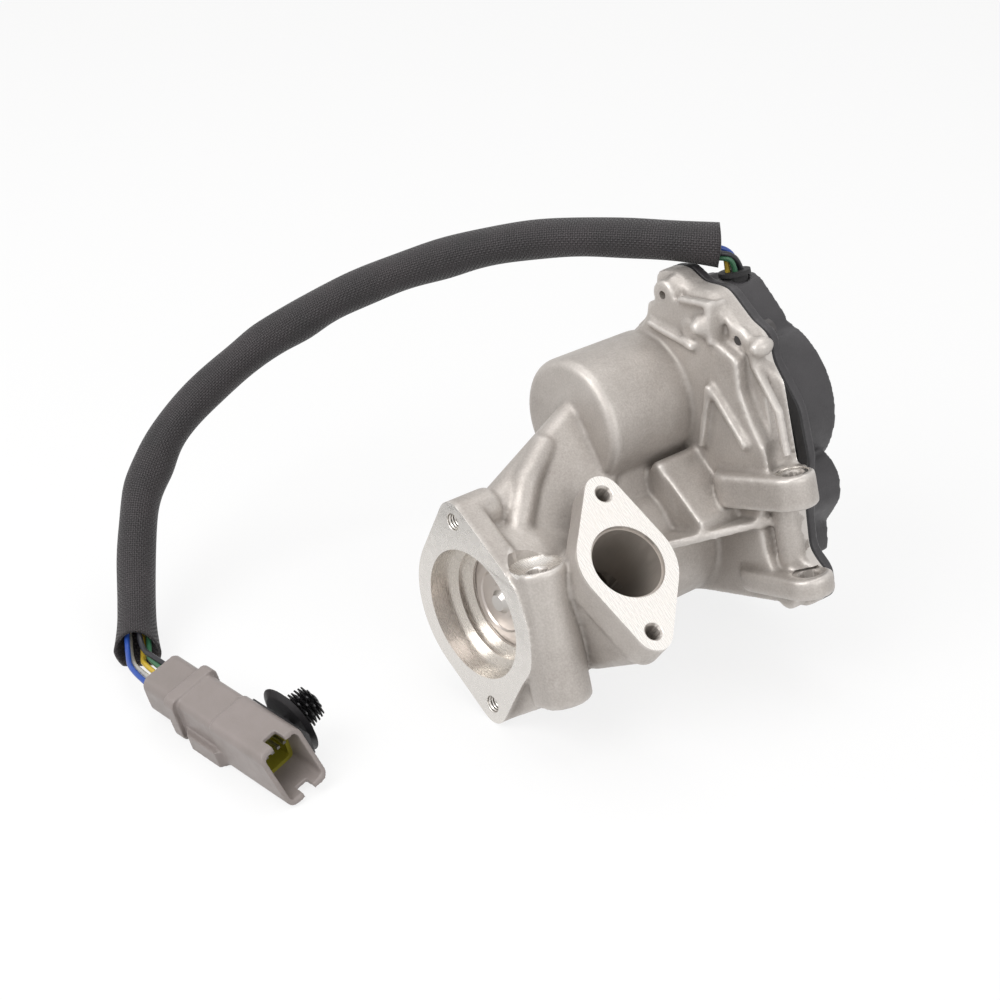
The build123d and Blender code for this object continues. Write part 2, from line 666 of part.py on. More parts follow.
def sensor_board():
    board = slab(disc_at(HUB_ROOM_R) & Rectangle(28, 22), BOARD_X, BOARD_X + BOARD_THICK)
    return board + block(BOARD_X - 0.6, BOARD_X, -2.5, 2.5, -2, 2)


def output_bearing():
    return sleeve(PLATEAU_X + 4, PLATEAU_X + 4 + DRUM_BUSH_LENGTH, CAM_ROOM_R, DRUM_R + SLIDE_FIT)


def intermediate_gear():
    to_motor = MOTOR_ANGLE + 180
    to_stem = MESH_ANGLE + 180
    wheel_teeth = Pos(WHEEL_Y, WHEEL_Z) * gear_outline(SHAFT_MODULE, WHEEL_TEETH, to_motor)
    wheel = slab(wheel_teeth, FIRST_STAGE_X, FIRST_STAGE_X + FIRST_STAGE_WIDTH)
    recess = sleeve(FIRST_STAGE_X - 1, FIRST_STAGE_X + 1.4, 20.5, 7.5, WHEEL_Y, WHEEL_Z)
    wheel -= recess
    small_end = SECOND_STAGE_X + SECOND_STAGE_WIDTH + 0.6
    small = slab(
        Pos(WHEEL_Y, WHEEL_Z) * gear_outline(SECTOR_MODULE, SMALL_PINION_TEETH, to_stem), FIRST_STAGE_X, small_end
    )
    return wheel + small - rod(0, 130, AXLE_R + SLIDE_FIT, WHEEL_Y, WHEEL_Z)


def intermediate_pin():
    return rod(PARTING_X - 10, COVER_ROOM_X + 1.4, AXLE_R, WHEEL_Y, WHEEL_Z)


# ---------------------------------------------------------------- motor

CAN_START = MOTOR_FACE_X + MOTOR_END_WALL
CAN_END = CAN_START + CAN_LENGTH
SHAFT_START = CAN_START + 1.5
SHAFT_END = FIRST_STAGE_X + FIRST_STAGE_WIDTH
BUSH_OUTER = 4.0


def motor_can():
    can = rod(CAN_START, CAN_END, CAN_R, 0, MOTOR_Z)
    can -= rod(CAN_START + CAN_WALL + 4, CAN_END + 1, CAN_R - CAN_WALL, 0, MOTOR_Z)
    can -= rod(CAN_START + CAN_WALL, CAN_END, CAN_R - CAN_WALL, 0, MOTOR_Z) - rod(0, 200, BUSH_OUTER + 2, 0, MOTOR_Z)
    return can - rod(CAN_START + 1.4, CAN_END, BUSH_OUTER, 0, MOTOR_Z)


def motor_end_plate():
    plate = rod(CAN_END, CAN_END + MOTOR_PLATE_THICK, MOTOR_PLATE_R, 0, MOTOR_Z)
    return plate - rod(0, 200, BUSH_OUTER, 0, MOTOR_Z)


def motor_magnets():
    start = CAN_START + 7
    inner = CAN_R - CAN_WALL
    ring = sleeve(start, start + MAGNET_LENGTH, inner, inner - MAGNET_THICK, 0, MOTOR_Z)
    gap = block(0, 200, -30, 30, MOTOR_Z - 4, MOTOR_Z + 4)
    return (ring - gap).solids()


def motor_shaft():
    return rod(SHAFT_START, SHAFT_END, SHAFT_R, 0, MOTOR_Z)


def motor_armature():
    start = CAN_START + ARMATURE_INSET
    core = rod(start, start + ARMATURE_LENGTH, ARMATURE_R, 0, MOTOR_Z)
    for k in range(5):
        slot = wrap((ARMATURE_R + 1, 0, 0.9), (10.5, 0, 0.9)) + wrap((6.8, 1.6, 1.4), (6.8, -1.6, 1.4), (9.6, 0, 1.2))
        core -= slab(Pos(0, MOTOR_Z) * Rot(0, 0, 72 * k) * slot, start - 1, start + ARMATURE_LENGTH + 1)
    return core - rod(0, 200, SHAFT_R, 0, MOTOR_Z)


def motor_windings():
    start = CAN_START + ARMATURE_INSET
    finish = start + ARMATURE_LENGTH
    ends = []
    for x0, x1 in ((start - WINDING_END, start), (finish, finish + WINDING_END)):
        ends.append(sleeve(x0, x1, 9.6, SHAFT_R, 0, MOTOR_Z))
    return ends


def motor_commutator():
    start = CAN_START + ARMATURE_INSET + ARMATURE_LENGTH + WINDING_END
    drum = sleeve(start, start + COMMUTATOR_LENGTH, COMMUTATOR_R, SHAFT_R, 0, MOTOR_Z)
    return drum


def motor_pinion():
    gap_first = MOTOR_ANGLE + 180 / MOTOR_PINION_TEETH
    teeth = Pos(0, MOTOR_Z) * gear_outline(SHAFT_MODULE, MOTOR_PINION_TEETH, gap_first)
    return slab(teeth, FIRST_STAGE_X, FIRST_STAGE_X + FIRST_STAGE_WIDTH) - rod(0, 200, SHAFT_R, 0, MOTOR_Z)


def motor_bushes():
    rear = sleeve(CAN_START + 1.4, CAN_START + 5.4, BUSH_OUTER, SHAFT_R + SLIDE_FIT, 0, MOTOR_Z)
    front = sleeve(CAN_END, CAN_END + MOTOR_PLATE_THICK, BUSH_OUTER, SHAFT_R + SLIDE_FIT, 0, MOTOR_Z)
    return [rear, front]


def brush_card():
    return sleeve(CAN_END - 1.6, CAN_END, CAN_R - CAN_WALL, COMMUTATOR_R + 1.6, 0, MOTOR_Z)


def motor_brushes():
    x1 = CAN_END - 1.6
    far = COMMUTATOR_R + SLIDE_FIT
    blocks = []
    for s in (1, -1):
        y0, y1 = sorted((s * far, s * (far + 6)))
        blocks.append(block(x1 - 3.5, x1, y0, y1, MOTOR_Z - 1.8, MOTOR_Z + 1.8))
    return blocks


# ---------------------------------------------------------------- cover


def cover_gasket():
    sheet = slab(rim_outline - cover_limit, PARTING_X, PARTING_X + GASKET_THICK)
    for y, z in SCREWS:
        sheet -= rod(PARTING_X - 1, PARTING_X + 2, SCREW_R, y, z)
    return sheet


COVER_START = PARTING_X + GASKET_THICK


def gear_cover():
    """Moulded cover: a flange like the rim's, a wall round the gears and three domes."""
    clear_rim = offset(rim_outline, -0.8)
    shell = offset(cover_room, COVER_WALL) & clear_rim
    cover = slab(rim_outline, COVER_START, COVER_START + COVER_FLANGE)
    cover += slab(shell, COVER_START, COVER_ROOM_X + COVER_WALL)
    tower = wrap((GROMMET_Y, GROMMET_TOP - 8.5, 8), (GROMMET_Y + 8, 70, 9), (GROMMET_Y - 6, 66, 9))
    cover += slab(tower & clear_rim, COVER_START, GROMMET_X + GROMMET_R + 1.0)
    cover += slab(disc_at(WHEEL_ROOM_R + COVER_WALL, WHEEL_Y, WHEEL_Z) & clear_rim, COVER_START, WHEEL_DOME_X)
    low_dome = wrap((-43.5, 12, 12.5), (-30, 0, 14))
    cover += slab(low_dome & clear_rim, COVER_START, COVER_ROOM_X + COVER_WALL)
    cover += rod(COVER_START, BOARD_X + BOARD_THICK + COVER_WALL, HUB_ROOM_R + COVER_WALL)
    cover -= slab(cover_room, COVER_START - 1, COVER_ROOM_X)
    cover -= rod(COVER_START - 1, BOARD_X + BOARD_THICK, HUB_ROOM_R)
    cover -= post(60, 95, GROMMET_R - 1.2, GROMMET_X, GROMMET_Y)
    cover -= post(GROMMET_TOP, 95, GROMMET_R + AIR, GROMMET_X, GROMMET_Y)
    hub_start = SECOND_STAGE_X + SECOND_STAGE_WIDTH + AIR
    cover += sleeve(hub_start, COVER_ROOM_X + 1, HUB_ROOM_R + 0.5, OUTPUT_STUB_R + SLIDE_FIT)
    cover -= rod(COVER_ROOM_X - 4, COVER_ROOM_X + 1.4, AXLE_R, WHEEL_Y, WHEEL_Z)
    for y, z in SCREWS:
        cover -= rod(COVER_START - 1, COVER_START + COVER_FLANGE + 1, SCREW_R, y, z)
        cover -= rod(COVER_START + COVER_FLANGE, COVER_START + 40, SCREW_HEAD_R + 0.8, y, z)
    return cover


def cover_screws():
    seat = COVER_START + COVER_FLANGE
    screws = []
    for y, z in SCREWS:
        screw = rod(seat - SCREW_LENGTH, seat, SCREW_R, y, z)
        screw += rod(seat, seat + SCREW_HEAD, SCREW_HEAD_R, y, z)
        socket = slab(Pos(y, z) * RegularPolygon(1.5, 6), seat + 0.9, seat + SCREW_HEAD + 1)
        screws.append(screw - socket)
    return screws


def grommet_spot(index):
    """Where a wire passes the grommet, as (X, Y)."""
    angle = radians(360 * index / PIN_COUNT + 20)
    return GROMMET_X + GROMMET_PITCH_R * cos(angle), GROMMET_Y + GROMMET_PITCH_R * sin(angle)


def wire_grommet():
    grommet = post(GROMMET_TOP - 7, GROMMET_TOP, GROMMET_R - 1.2, GROMMET_X, GROMMET_Y)
    grommet += post(GROMMET_TOP, GROMMET_TOP + 1.5, GROMMET_R, GROMMET_X, GROMMET_Y)
    for k in range(PIN_COUNT):
        grommet -= post(GROMMET_TOP - 9, GROMMET_TOP + 4, WIRE_R, *grommet_spot(k))
    return grommet


# ---------------------------------------------------------------- lead

# Middle line of the sleeve from the cover's wire exit to the table by the connector
SLEEVE_ROUTE = [
    (109.5, 4.8, 101.3),
    (96.5, 29.6, 98.1),
    (80.7, 55.1, 94.4),
    (63.0, 79.7, 86.1),
    (44.2, 102.6, 73.4),
    (21.9, 123.0, 57.8),
    (-3.0, 135.6, 40.0),
    (-31.3, 137.4, 22.4),
    (-48.5, 130.3, 5.6),
    (-58.5, 119.6, -8.9),
    (-67.1, 106.6, -20.8),
    (-76.6, 91.3, -31.8),
]


def fillet_radii(points, share=0.45):
    """The largest radius that each corner of a route may take."""
    radii = []
    for before, corner, after in zip(points, points[1:], points[2:]):
        into, out = Vector(*corner) - Vector(*before), Vector(*after) - Vector(*corner)
        turn = radians(into.get_angle(out))
        radii.append(share * min(into.length, out.length) / tan(turn / 2))
    return radii


def along(points, section, share=0.45):
    """Carry a round section down a route."""
    line = FilletPolyline(*points, radius=fillet_radii(points, share))
    return sweep(Plane(origin=line @ 0, z_dir=line % 0) * section, path=line)


def lead_sleeve():
    return along(SLEEVE_ROUTE, Circle(SLEEVE_R) - Circle(SLEEVE_R - SLEEVE_WALL))


def connector_plane():
    forward = Vector(cos(radians(CONNECTOR_HEADING)), sin(radians(CONNECTOR_HEADING)), 0)
    up = Vector(0, 0, 1).rotate(Axis((0, 0, 0), tuple(forward)), CONNECTOR_ROLL)
    level = Plane(origin=(0, 0, 0), x_dir=forward, z_dir=up)
    corner = level.from_local_coords(Vector(0, -SOCKET_WIDTH / 2, -SOCKET_HEIGHT / 2))
    place = Vector(CONNECTOR_CORNER[0], CONNECTOR_CORNER[1], TABLE_Z) - corner
    return Plane(origin=place, x_dir=forward, z_dir=up)


CONNECTOR = connector_plane()
WIRE_SPOTS = [((k - (PIN_COUNT - 1) / 2) * PIN_PITCH, PIN_LEVEL) for k in range(PIN_COUNT)]


def strand(index):
    """Route of one wire: up out of the grommet, round into the sleeve, down to the connector."""
    route = [Vector(*p) for p in SLEEVE_ROUTE]
    side = Vector(0, 0, 1)
    angle = 360 * index / PIN_COUNT
    inside = []
    for k, point in enumerate(route):
        ahead = route[min(k + 1, len(route) - 1)] - route[max(k - 1, 0)]
        ahead = ahead.normalized()
        side = (side - ahead * side.dot(ahead)).normalized()
        across = ahead.cross(side)
        inside.append(point + side * (STRAND_R * cos(radians(angle))) + across * (STRAND_R * sin(radians(angle))))
    out = (route[0] - route[1]).normalized()
    gy, gz = grommet_spot(index)
    rise = [turned(Vector(gy, gz, GROMMET_TOP - 9)), turned(Vector(gy, gz, GROMMET_TOP + 5))]
    mouth = inside[0] + out * 6 + (rise[1] - inside[0]) * 0.35
    y, z = WIRE_SPOTS[index]
    entry = CONNECTOR.from_local_coords(Vector(-CONNECTOR_LENGTH - 12, y, z))
    end = CONNECTOR.from_local_coords(Vector(-TERMINAL_REAR, y, z))
    return [tuple(p) for p in rise + [mouth] + inside + [entry, end]]


def turned(point):
    """A point of the casting's frame where it stands on the table."""
    return point.rotate(Axis.X, -LEAN)


def lead_wires():
    return [along(strand(k), Circle(WIRE_R), share=0.3) for k in range(PIN_COUNT)]


# ---------------------------------------------------------------- connector, in its own frame


def shell_box(x0, x1, width, height, radius):
    return slab(RectangleRounded(width, height, radius), x0, x1)


def slant_cut():
    half = SOCKET_HEIGHT / 2
    slant = [(0, -half), (-SOCKET_SLANT, half), (-SOCKET_SLANT, half + 5), (9, half + 5), (9, -half)]
    wedge = Polyline(*slant, close=True)
    return extrude(Plane.XZ.offset(-20) * make_face(wedge), amount=40)


def connector_housing():
    half = SOCKET_HEIGHT / 2
    body = shell_box(-CONNECTOR_LENGTH + CAP_LENGTH, 0, SOCKET_WIDTH - 1, SOCKET_HEIGHT - 1.2, 2.6)
    body += shell_box(-SOCKET_STEP, 0, SOCKET_WIDTH, SOCKET_HEIGHT, 3.0)
    collar_x = -CONNECTOR_LENGTH + CAP_LENGTH
    body += shell_box(collar_x, collar_x + COLLAR_LENGTH, COLLAR_WIDTH, SOCKET_HEIGHT, 3.0)
    latch = Polyline((-52, -7), (-47, -10.6), (-33, -10.6), (-30, -7), close=True)
    body += Pos(0, 0, -half + 0.3) * extrude(make_face(latch), amount=7)
    bay = shell_box(-SOCKET_DEPTH, 1, SOCKET_WIDTH - 2 * SOCKET_WALL, SOCKET_HEIGHT - 2 * SOCKET_WALL, 1.6)
    body -= bay
    body -= slant_cut()
    body -= block(-SOCKET_SLANT - 4.5, 1, -2.5, 2.5, 0, 20)
    body -= block(-4.5, 1, -2.2, 2.2, -20, 0)
    return body - terminal_ways()


def terminal_ways():
    half = TERMINAL / 2
    ways = None
    for y, z in WIRE_SPOTS:
        way = rod(-CONNECTOR_LENGTH - 1, -TERMINAL_REAR, WIRE_R, y, z)
        way += block(-TERMINAL_REAR, -SOCKET_DEPTH + 20, y - half, y + half, z - half, z + half)
        ways = way if ways is None else ways + way
    return ways


def connector_cap():
    cap = shell_box(-CONNECTOR_LENGTH, -CONNECTOR_LENGTH + CAP_LENGTH, CAP_WIDTH, CAP_HEIGHT, 3.4)
    return cap - terminal_ways()


def connector_seal():
    width = SOCKET_WIDTH - 2 * SOCKET_WALL
    height = SOCKET_HEIGHT - 2 * SOCKET_WALL
    seal = shell_box(-SOCKET_DEPTH, -SOCKET_DEPTH + SEAL_LENGTH, width, height, 1.6)
    seal -= shell_box(-SOCKET_DEPTH + 1.5, 0, width - 3, height - 3, 1)
    return seal - terminal_ways()


def connector_terminals():
    blades = []
    half = TERMINAL / 2
    for y, z in WIRE_SPOTS:
        blades.append(block(-TERMINAL_REAR, -SOCKET_DEPTH + TERMINAL_REACH, y - half, y + half, z - half, z + half))
    return blades


def fixing_clip():
    wall = SOCKET_WIDTH / 2
    at_x, at_z = CLIP_PLACE
    base = Pos(at_x, wall + 0.9, at_z) * Box(27, 1.8, 9)
    stem = Pos(at_x, wall, at_z) * Rot(-90, 0, 0) * Cylinder(CLIP_STEM_R, CLIP_REACH, align=UPWARD)
    disc = Pos(at_x, wall + 4.2, at_z) * Rot(-90, 0, 0) * Cone(CLIP_DISC_R - 2.5, CLIP_DISC_R, 1.6)
    clip = base + stem + disc
    for k in range(4):
        clip += Pos(at_x, wall + 7.6 + 2.5 * k, at_z) * Rot(-90, 0, 0) * Cone(5.2 - 0.5 * k, 4.0 - 0.5 * k, 1.5)
    return clip


# ---------------------------------------------------------------- files


def write(name, shapes, leaning=True):
    solids = []
    for shape in shapes if isinstance(shapes, (list, tuple, ShapeList)) else [shapes]:
        solids += shape.solids()
    if leaning:
        solids = [s.rotate(Axis.X, -LEAN) for s in solids]
    group = solids[0] if len(solids) == 1 else Compound(children=solids)
    export_step(group, f"parts/{name}.step")


LEANING = {
    "valve_housing": housing,
    "port_liner": port_liner,
    "valve_seat": valve_seat,
    "valve_disc": valve_disc,
    "valve_stem": valve_stem,
    "drive_pin": drive_pin,
    "cam_rollers": cam_rollers,
    "stem_bush": stem_bush,
    "stem_seal": stem_seal,
    "crosshead": crosshead,
    "return_spring": return_spring,
    "guide_sleeve": guide_sleeve,
    "output_gear": output_gear,
    "output_bearing": output_bearing,
    "sensor_magnet": sensor_magnet,
    "sensor_board": sensor_board,
    "intermediate_gear": intermediate_gear,
    "intermediate_pin": intermediate_pin,
    "motor_can": motor_can,
    "motor_end_plate": motor_end_plate,
    "motor_magnets": motor_magnets,
    "motor_shaft": motor_shaft,
    "motor_armature": motor_armature,
    "motor_windings": motor_windings,
    "motor_commutator": motor_commutator,
    "motor_pinion": motor_pinion,
    "motor_bushes": motor_bushes,
    "motor_brush_card": brush_card,
    "motor_brushes": motor_brushes,
    "cover_gasket": cover_gasket,
    "gear_cover": gear_cover,
    "cover_screws": cover_screws,
    "wire_grommet": wire_grommet,
}
LYING = {
    "lead_sleeve": lead_sleeve,
    "lead_wires": lead_wires,
}
CONNECTED = {
    "connector_housing": connector_housing,
    "connector_cap": connector_cap,
    "connector_seal": connector_seal,
    "connector_terminals": connector_terminals,
    "fixing_clip": fixing_clip,
}

for node, make in LEANING.items():
    write(node, make())
for node, make in LYING.items():
    write(node, make(), leaning=False)
for node, make in CONNECTED.items():
    made = make()
    pieces = made if isinstance(made, list) else [made]
    write(node, [CONNECTOR * piece for piece in pieces], leaning=False)
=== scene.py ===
from math import cos, pi, radians, sin, tau

import bmesh
import bpy
import numpy as np
from mathutils import Matrix, Vector


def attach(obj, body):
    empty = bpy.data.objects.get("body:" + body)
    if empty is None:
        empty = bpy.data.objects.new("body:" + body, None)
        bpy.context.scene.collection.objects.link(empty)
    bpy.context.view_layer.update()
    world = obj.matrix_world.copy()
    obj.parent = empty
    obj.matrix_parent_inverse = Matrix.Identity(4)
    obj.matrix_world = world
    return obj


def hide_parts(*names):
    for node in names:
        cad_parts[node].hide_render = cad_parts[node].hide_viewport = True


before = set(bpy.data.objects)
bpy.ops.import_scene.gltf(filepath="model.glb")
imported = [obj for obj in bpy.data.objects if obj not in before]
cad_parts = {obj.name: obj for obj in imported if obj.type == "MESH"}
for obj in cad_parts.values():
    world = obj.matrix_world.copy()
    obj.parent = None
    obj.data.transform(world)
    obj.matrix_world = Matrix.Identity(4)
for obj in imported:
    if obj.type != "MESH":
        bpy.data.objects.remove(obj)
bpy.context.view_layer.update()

# An exhaust gas recirculation valve that lies on a table, with its sleeved lead. Lengths are in metres.
# The valve is drawn in its casting's frame, which leans on the table by LEAN about X.

MM = 0.001
LEAN = radians(18.8)
CASTING = Matrix.Rotation(-LEAN, 4, "X")
TABLE_Z = (-32.5 * cos(LEAN) - 7.0) * MM

# ---------------------------------------------------------------- camera

CAMERA_PLACE = Vector((-0.33654, -0.42973, 0.37375))
CAMERA_RIGHT = Vector((0.7782, -0.628, 0.0031)).normalized()
CAMERA_FORWARD = Vector((0.5388, 0.6652, -0.5169)).normalized()
CAMERA_LENS = 72.0


def make_camera():
    data = bpy.data.cameras.new("camera")
    data.lens = CAMERA_LENS
    data.sensor_width = 36.0
    data.clip_start = 0.01
    data.clip_end = 20.0
    camera = bpy.data.objects.new("camera", data)
    bpy.context.scene.collection.objects.link(camera)
    up = CAMERA_RIGHT.cross(CAMERA_FORWARD).normalized()
    right = CAMERA_FORWARD.cross(up)
    turn = Matrix((right, up, -CAMERA_FORWARD)).transposed()
    camera.matrix_world = Matrix.Translation(CAMERA_PLACE) @ turn.to_4x4()
    bpy.context.scene.camera = camera


make_camera()

# ---------------------------------------------------------------- lead: routes

SLEEVE_RADIUS = 6.8 * MM
SLEEVE_WALL = 1.1 * MM
WIRE_RADIUS = 0.95 * MM
STRAND_RADIUS = 4.0 * MM
WIRE_COUNT = 5

# Middle line of the sleeve, from the cover's wire exit to the table by the connector
SLEEVE_ROUTE = [
    (109.5, 4.8, 101.3),
    (96.5, 29.6, 98.1),
    (80.7, 55.1, 94.4),
    (63.0, 79.7, 86.1),
    (44.2, 102.6, 73.4),
    (21.9, 123.0, 57.8),
    (-3.0, 135.6, 40.0),
    (-31.3, 137.4, 22.4),
    (-48.5, 130.3, 5.6),
    (-58.5, 119.6, -8.9),
    (-67.1, 106.6, -20.8),
    (-76.6, 91.3, -31.8),
]
GROMMET_PLACE = Vector((115.0, -27.0, 85.0)) * MM
GROMMET_PITCH = 2.4 * MM
CONNECTOR_HEADING = radians(-82.6)
CONNECTOR_ROLL = radians(15.0)
CONNECTOR_CORNER = (-78.3, -6.8)
CONNECTOR_LENGTH = 70.0
SOCKET_WIDTH = 17.0
SOCKET_HEIGHT = 19.0
TERMINAL_REAR = 40.0
PIN_PITCH = 2.6


def connector_frame():
    """Placement of the connector: x towards its open end, y to its clip's side, z up."""
    forward = Vector((cos(CONNECTOR_HEADING), sin(CONNECTOR_HEADING), 0))
    up = Matrix.Rotation(CONNECTOR_ROLL, 3, forward) @ Vector((0, 0, 1))
    side = up.cross(forward)
    turn = Matrix((forward, side, up)).transposed()
    corner = turn @ Vector((0, -SOCKET_WIDTH / 2, -SOCKET_HEIGHT / 2)) * MM
    place = Vector((CONNECTOR_CORNER[0] * MM, CONNECTOR_CORNER[1] * MM, TABLE_Z)) - corner
    return Matrix.Translation(place) @ turn.to_4x4()


CONNECTOR = connector_frame()


def nurbs(name, points, radius):
    """A round cord on a smooth curve with the given control points."""
    data = bpy.data.curves.new(name, "CURVE")
    data.dimensions = "3D"
    data.bevel_depth = radius
    data.bevel_resolution = 5
    data.resolution_u = 10
    spline = data.splines.new("NURBS")
    spline.points.add(len(points) - 1)
    for slot, point in zip(spline.points, points):
        slot.co = (*point, 1.0)
    spline.order_u = 3
    spline.use_endpoint_u = True
    cord = bpy.data.objects.new(name, data)
    bpy.context.scene.collection.objects.link(cord)
    return cord


def line_of(points):
    """Points along the smooth curve that a route gives."""
    guide = nurbs("guide", points, 0.0)
    bpy.context.view_layer.update()
    evaluated = guide.evaluated_get(bpy.context.evaluated_depsgraph_get())
    mesh = bpy.data.meshes.new_from_object(evaluated)
    line = [v.co.copy() for v in mesh.vertices]
    bpy.data.objects.remove(guide)
    bpy.data.meshes.remove(mesh)
    return line


def wire_route(index):
    """Control points of one wire: up out of the grommet, down the sleeve, into the connector."""
    route = [Vector(p) * MM for p in SLEEVE_ROUTE]
    side = Vector((0, 0, 1))
    angle = tau * index / WIRE_COUNT
    inside = []
    for k, point in enumerate(route):
        ahead = (route[min(k + 1, len(route) - 1)] - route[max(k - 1, 0)]).normalized()
        side = (side - ahead * side.dot(ahead)).normalized()
        across = ahead.cross(side)
        inside.append(point + side * (STRAND_RADIUS * cos(angle)) + across * (STRAND_RADIUS * sin(angle)))
    out = (route[0] - route[1]).normalized()
    spot = radians(20) + angle
    base = GROMMET_PLACE + Vector((cos(spot), sin(spot), 0)) * GROMMET_PITCH
    rise = [CASTING @ (base + Vector((0, 0, h)) * MM) for h in (-9, -2, 3)]
    inside[0] = inside[0] * 0.5 + Vector(SLEEVE_ROUTE[0]) * MM * 0.5 + Vector((0, 0, -3.4 * MM))
    mouth = inside[0] * 0.4 + rise[-1] * 0.6 + out * 0.5 * MM + Vector((0, 0, 2.0 * MM))
    y = (index - (WIRE_COUNT - 1) / 2) * PIN_PITCH * MM
    entry = CONNECTOR @ Vector((-(CONNECTOR_LENGTH + 12) * MM, y, 0))
    end = CONNECTOR @ Vector((-TERMINAL_REAR * MM, y, 0))
    return rise + [mouth] + inside + [entry, end]


# ---------------------------------------------------------------- finishes


def tone(red, green, blue):
    """A colour given as it looks on a screen, 0 to 255."""
    linear = []
    for value in (red, green, blue):
        share = value / 255
        linear.append(share / 12.92 if share <= 0.04045 else ((share + 0.055) / 1.055) ** 2.4)
    return (*linear, 1.0)


class Finish:
    """A material with a principled shader, and short ways to wire its nodes."""

    def __init__(self, name, colour, roughness, metallic=0.0, **sockets):
        self.material = bpy.data.materials.new(name)
        self.material.use_nodes = True
        self.tree = self.material.node_tree
        self.shader = self.tree.nodes["Principled BSDF"]
        self.shader.inputs["Base Color"].default_value = colour
        self.shader.inputs["Roughness"].default_value = roughness
        self.shader.inputs["Metallic"].default_value = metallic
        for socket, value in sockets.items():
            self.shader.inputs[socket.replace("_", " ")].default_value = value
        coordinates = self.add("ShaderNodeTexCoord")
        self.place = coordinates.outputs["Object"]
        self.wrap = coordinates.outputs["UV"]

    def add(self, kind, **settings):
        node = self.tree.nodes.new(kind)
        for name, value in settings.items():
            setattr(node, name, value)
        return node

    def feed(self, socket, value):
        if isinstance(value, bpy.types.NodeSocket):
            self.tree.links.new(value, socket)
        else:
            socket.default_value = value

    def to_shader(self, socket, value):
        self.feed(self.shader.inputs[socket], value)

    def maths(self, operation, *values, clamp=False):
        node = self.add("ShaderNodeMath", operation=operation, use_clamp=clamp)
        for socket, value in zip(node.inputs, values):
            self.feed(socket, value)
        return node.outputs[0]

    def split(self, vector):
        node = self.add("ShaderNodeSeparateXYZ")
        self.feed(node.inputs[0], vector)
        return node.outputs

    def placed(self, vector, matrix):
        """The vector as seen in the frame that `matrix` places."""
        back = matrix.inverted()
        node = self.add("ShaderNodeMapping")
        self.feed(node.inputs["Vector"], vector)
        node.inputs["Location"].default_value = back.to_translation()
        node.inputs["Rotation"].default_value = back.to_euler()
        return node.outputs[0]

    def stretched(self, vector, scale):
        node = self.add("ShaderNodeMapping")
        self.feed(node.inputs["Vector"], vector)
        node.inputs["Scale"].default_value = scale
        return node.outputs[0]

    def noise(self, scale, detail=2.0, roughness=0.5, vector=None):
        node = self.add("ShaderNodeTexNoise")
        self.feed(node.inputs["Vector"], vector or self.place)
        node.inputs["Scale"].default_value = scale
        node.inputs["Detail"].default_value = detail
        node.inputs["Roughness"].default_value = roughness
        return node.outputs["Fac"]

    def ramp(self, value, low, high, out_low=0.0, out_high=1.0):
        node = self.add("ShaderNodeMapRange")
        for socket, number in zip(node.inputs, (value, low, high, out_low, out_high)):
            self.feed(socket, number)
        return node.outputs[0]

    def blend(self, factor, first, second):
        node = self.add("ShaderNodeMix", data_type="RGBA")
        self.feed(node.inputs["Factor"], factor)
        self.feed(node.inputs[6], first)
        self.feed(node.inputs[7], second)
        return node.outputs[2]

    def grow(self, factor, first, second):
        """A number that goes from first to second with the factor."""
        node = self.add("ShaderNodeMix", data_type="FLOAT")
        self.feed(node.inputs["Factor"], factor)
        self.feed(node.inputs[2], first)
        self.feed(node.inputs[3], second)
        return node.outputs[0]

    def relief(self, height, distance, strength=1.0):
        """Raised and sunk detail, `distance` metres for a height of 1."""
        node = self.add("ShaderNodeBump")
        node.inputs["Strength"].default_value = strength
        node.inputs["Distance"].default_value = distance
        self.feed(node.inputs["Height"], height)
        self.to_shader("Normal", node.outputs[0])


PORT_RISE = radians(37.7)
PORT_NORMAL = Vector((0, -cos(PORT_RISE), sin(PORT_RISE)))
PORT_UP = Vector((0, sin(PORT_RISE), cos(PORT_RISE)))
PORT_X = 32.6
PORT_REACH = 44.5                # from the stem's axis to the port's face
PORT_DROP = 17.5
PORT_FACE_SIZE = 0.036           # furthest point of the port's face from its centre
PORT_CENTRE = (Vector((PORT_X, 0, 0)) + PORT_NORMAL * PORT_REACH - PORT_UP * PORT_DROP) * MM
PORT = Matrix.Translation(PORT_CENTRE) @ Matrix(((1, 0, 0), PORT_UP, PORT_NORMAL)).transposed().to_4x4()


# Spot faces round the clamp bolts: x, y, radius, lowest and highest z
SPOT_FACES = [(0.01, -0.0272, 0.0088, 0.0155, 0.0181), (0.0953, -0.06, 0.0057, 0.0237, 0.0241)]


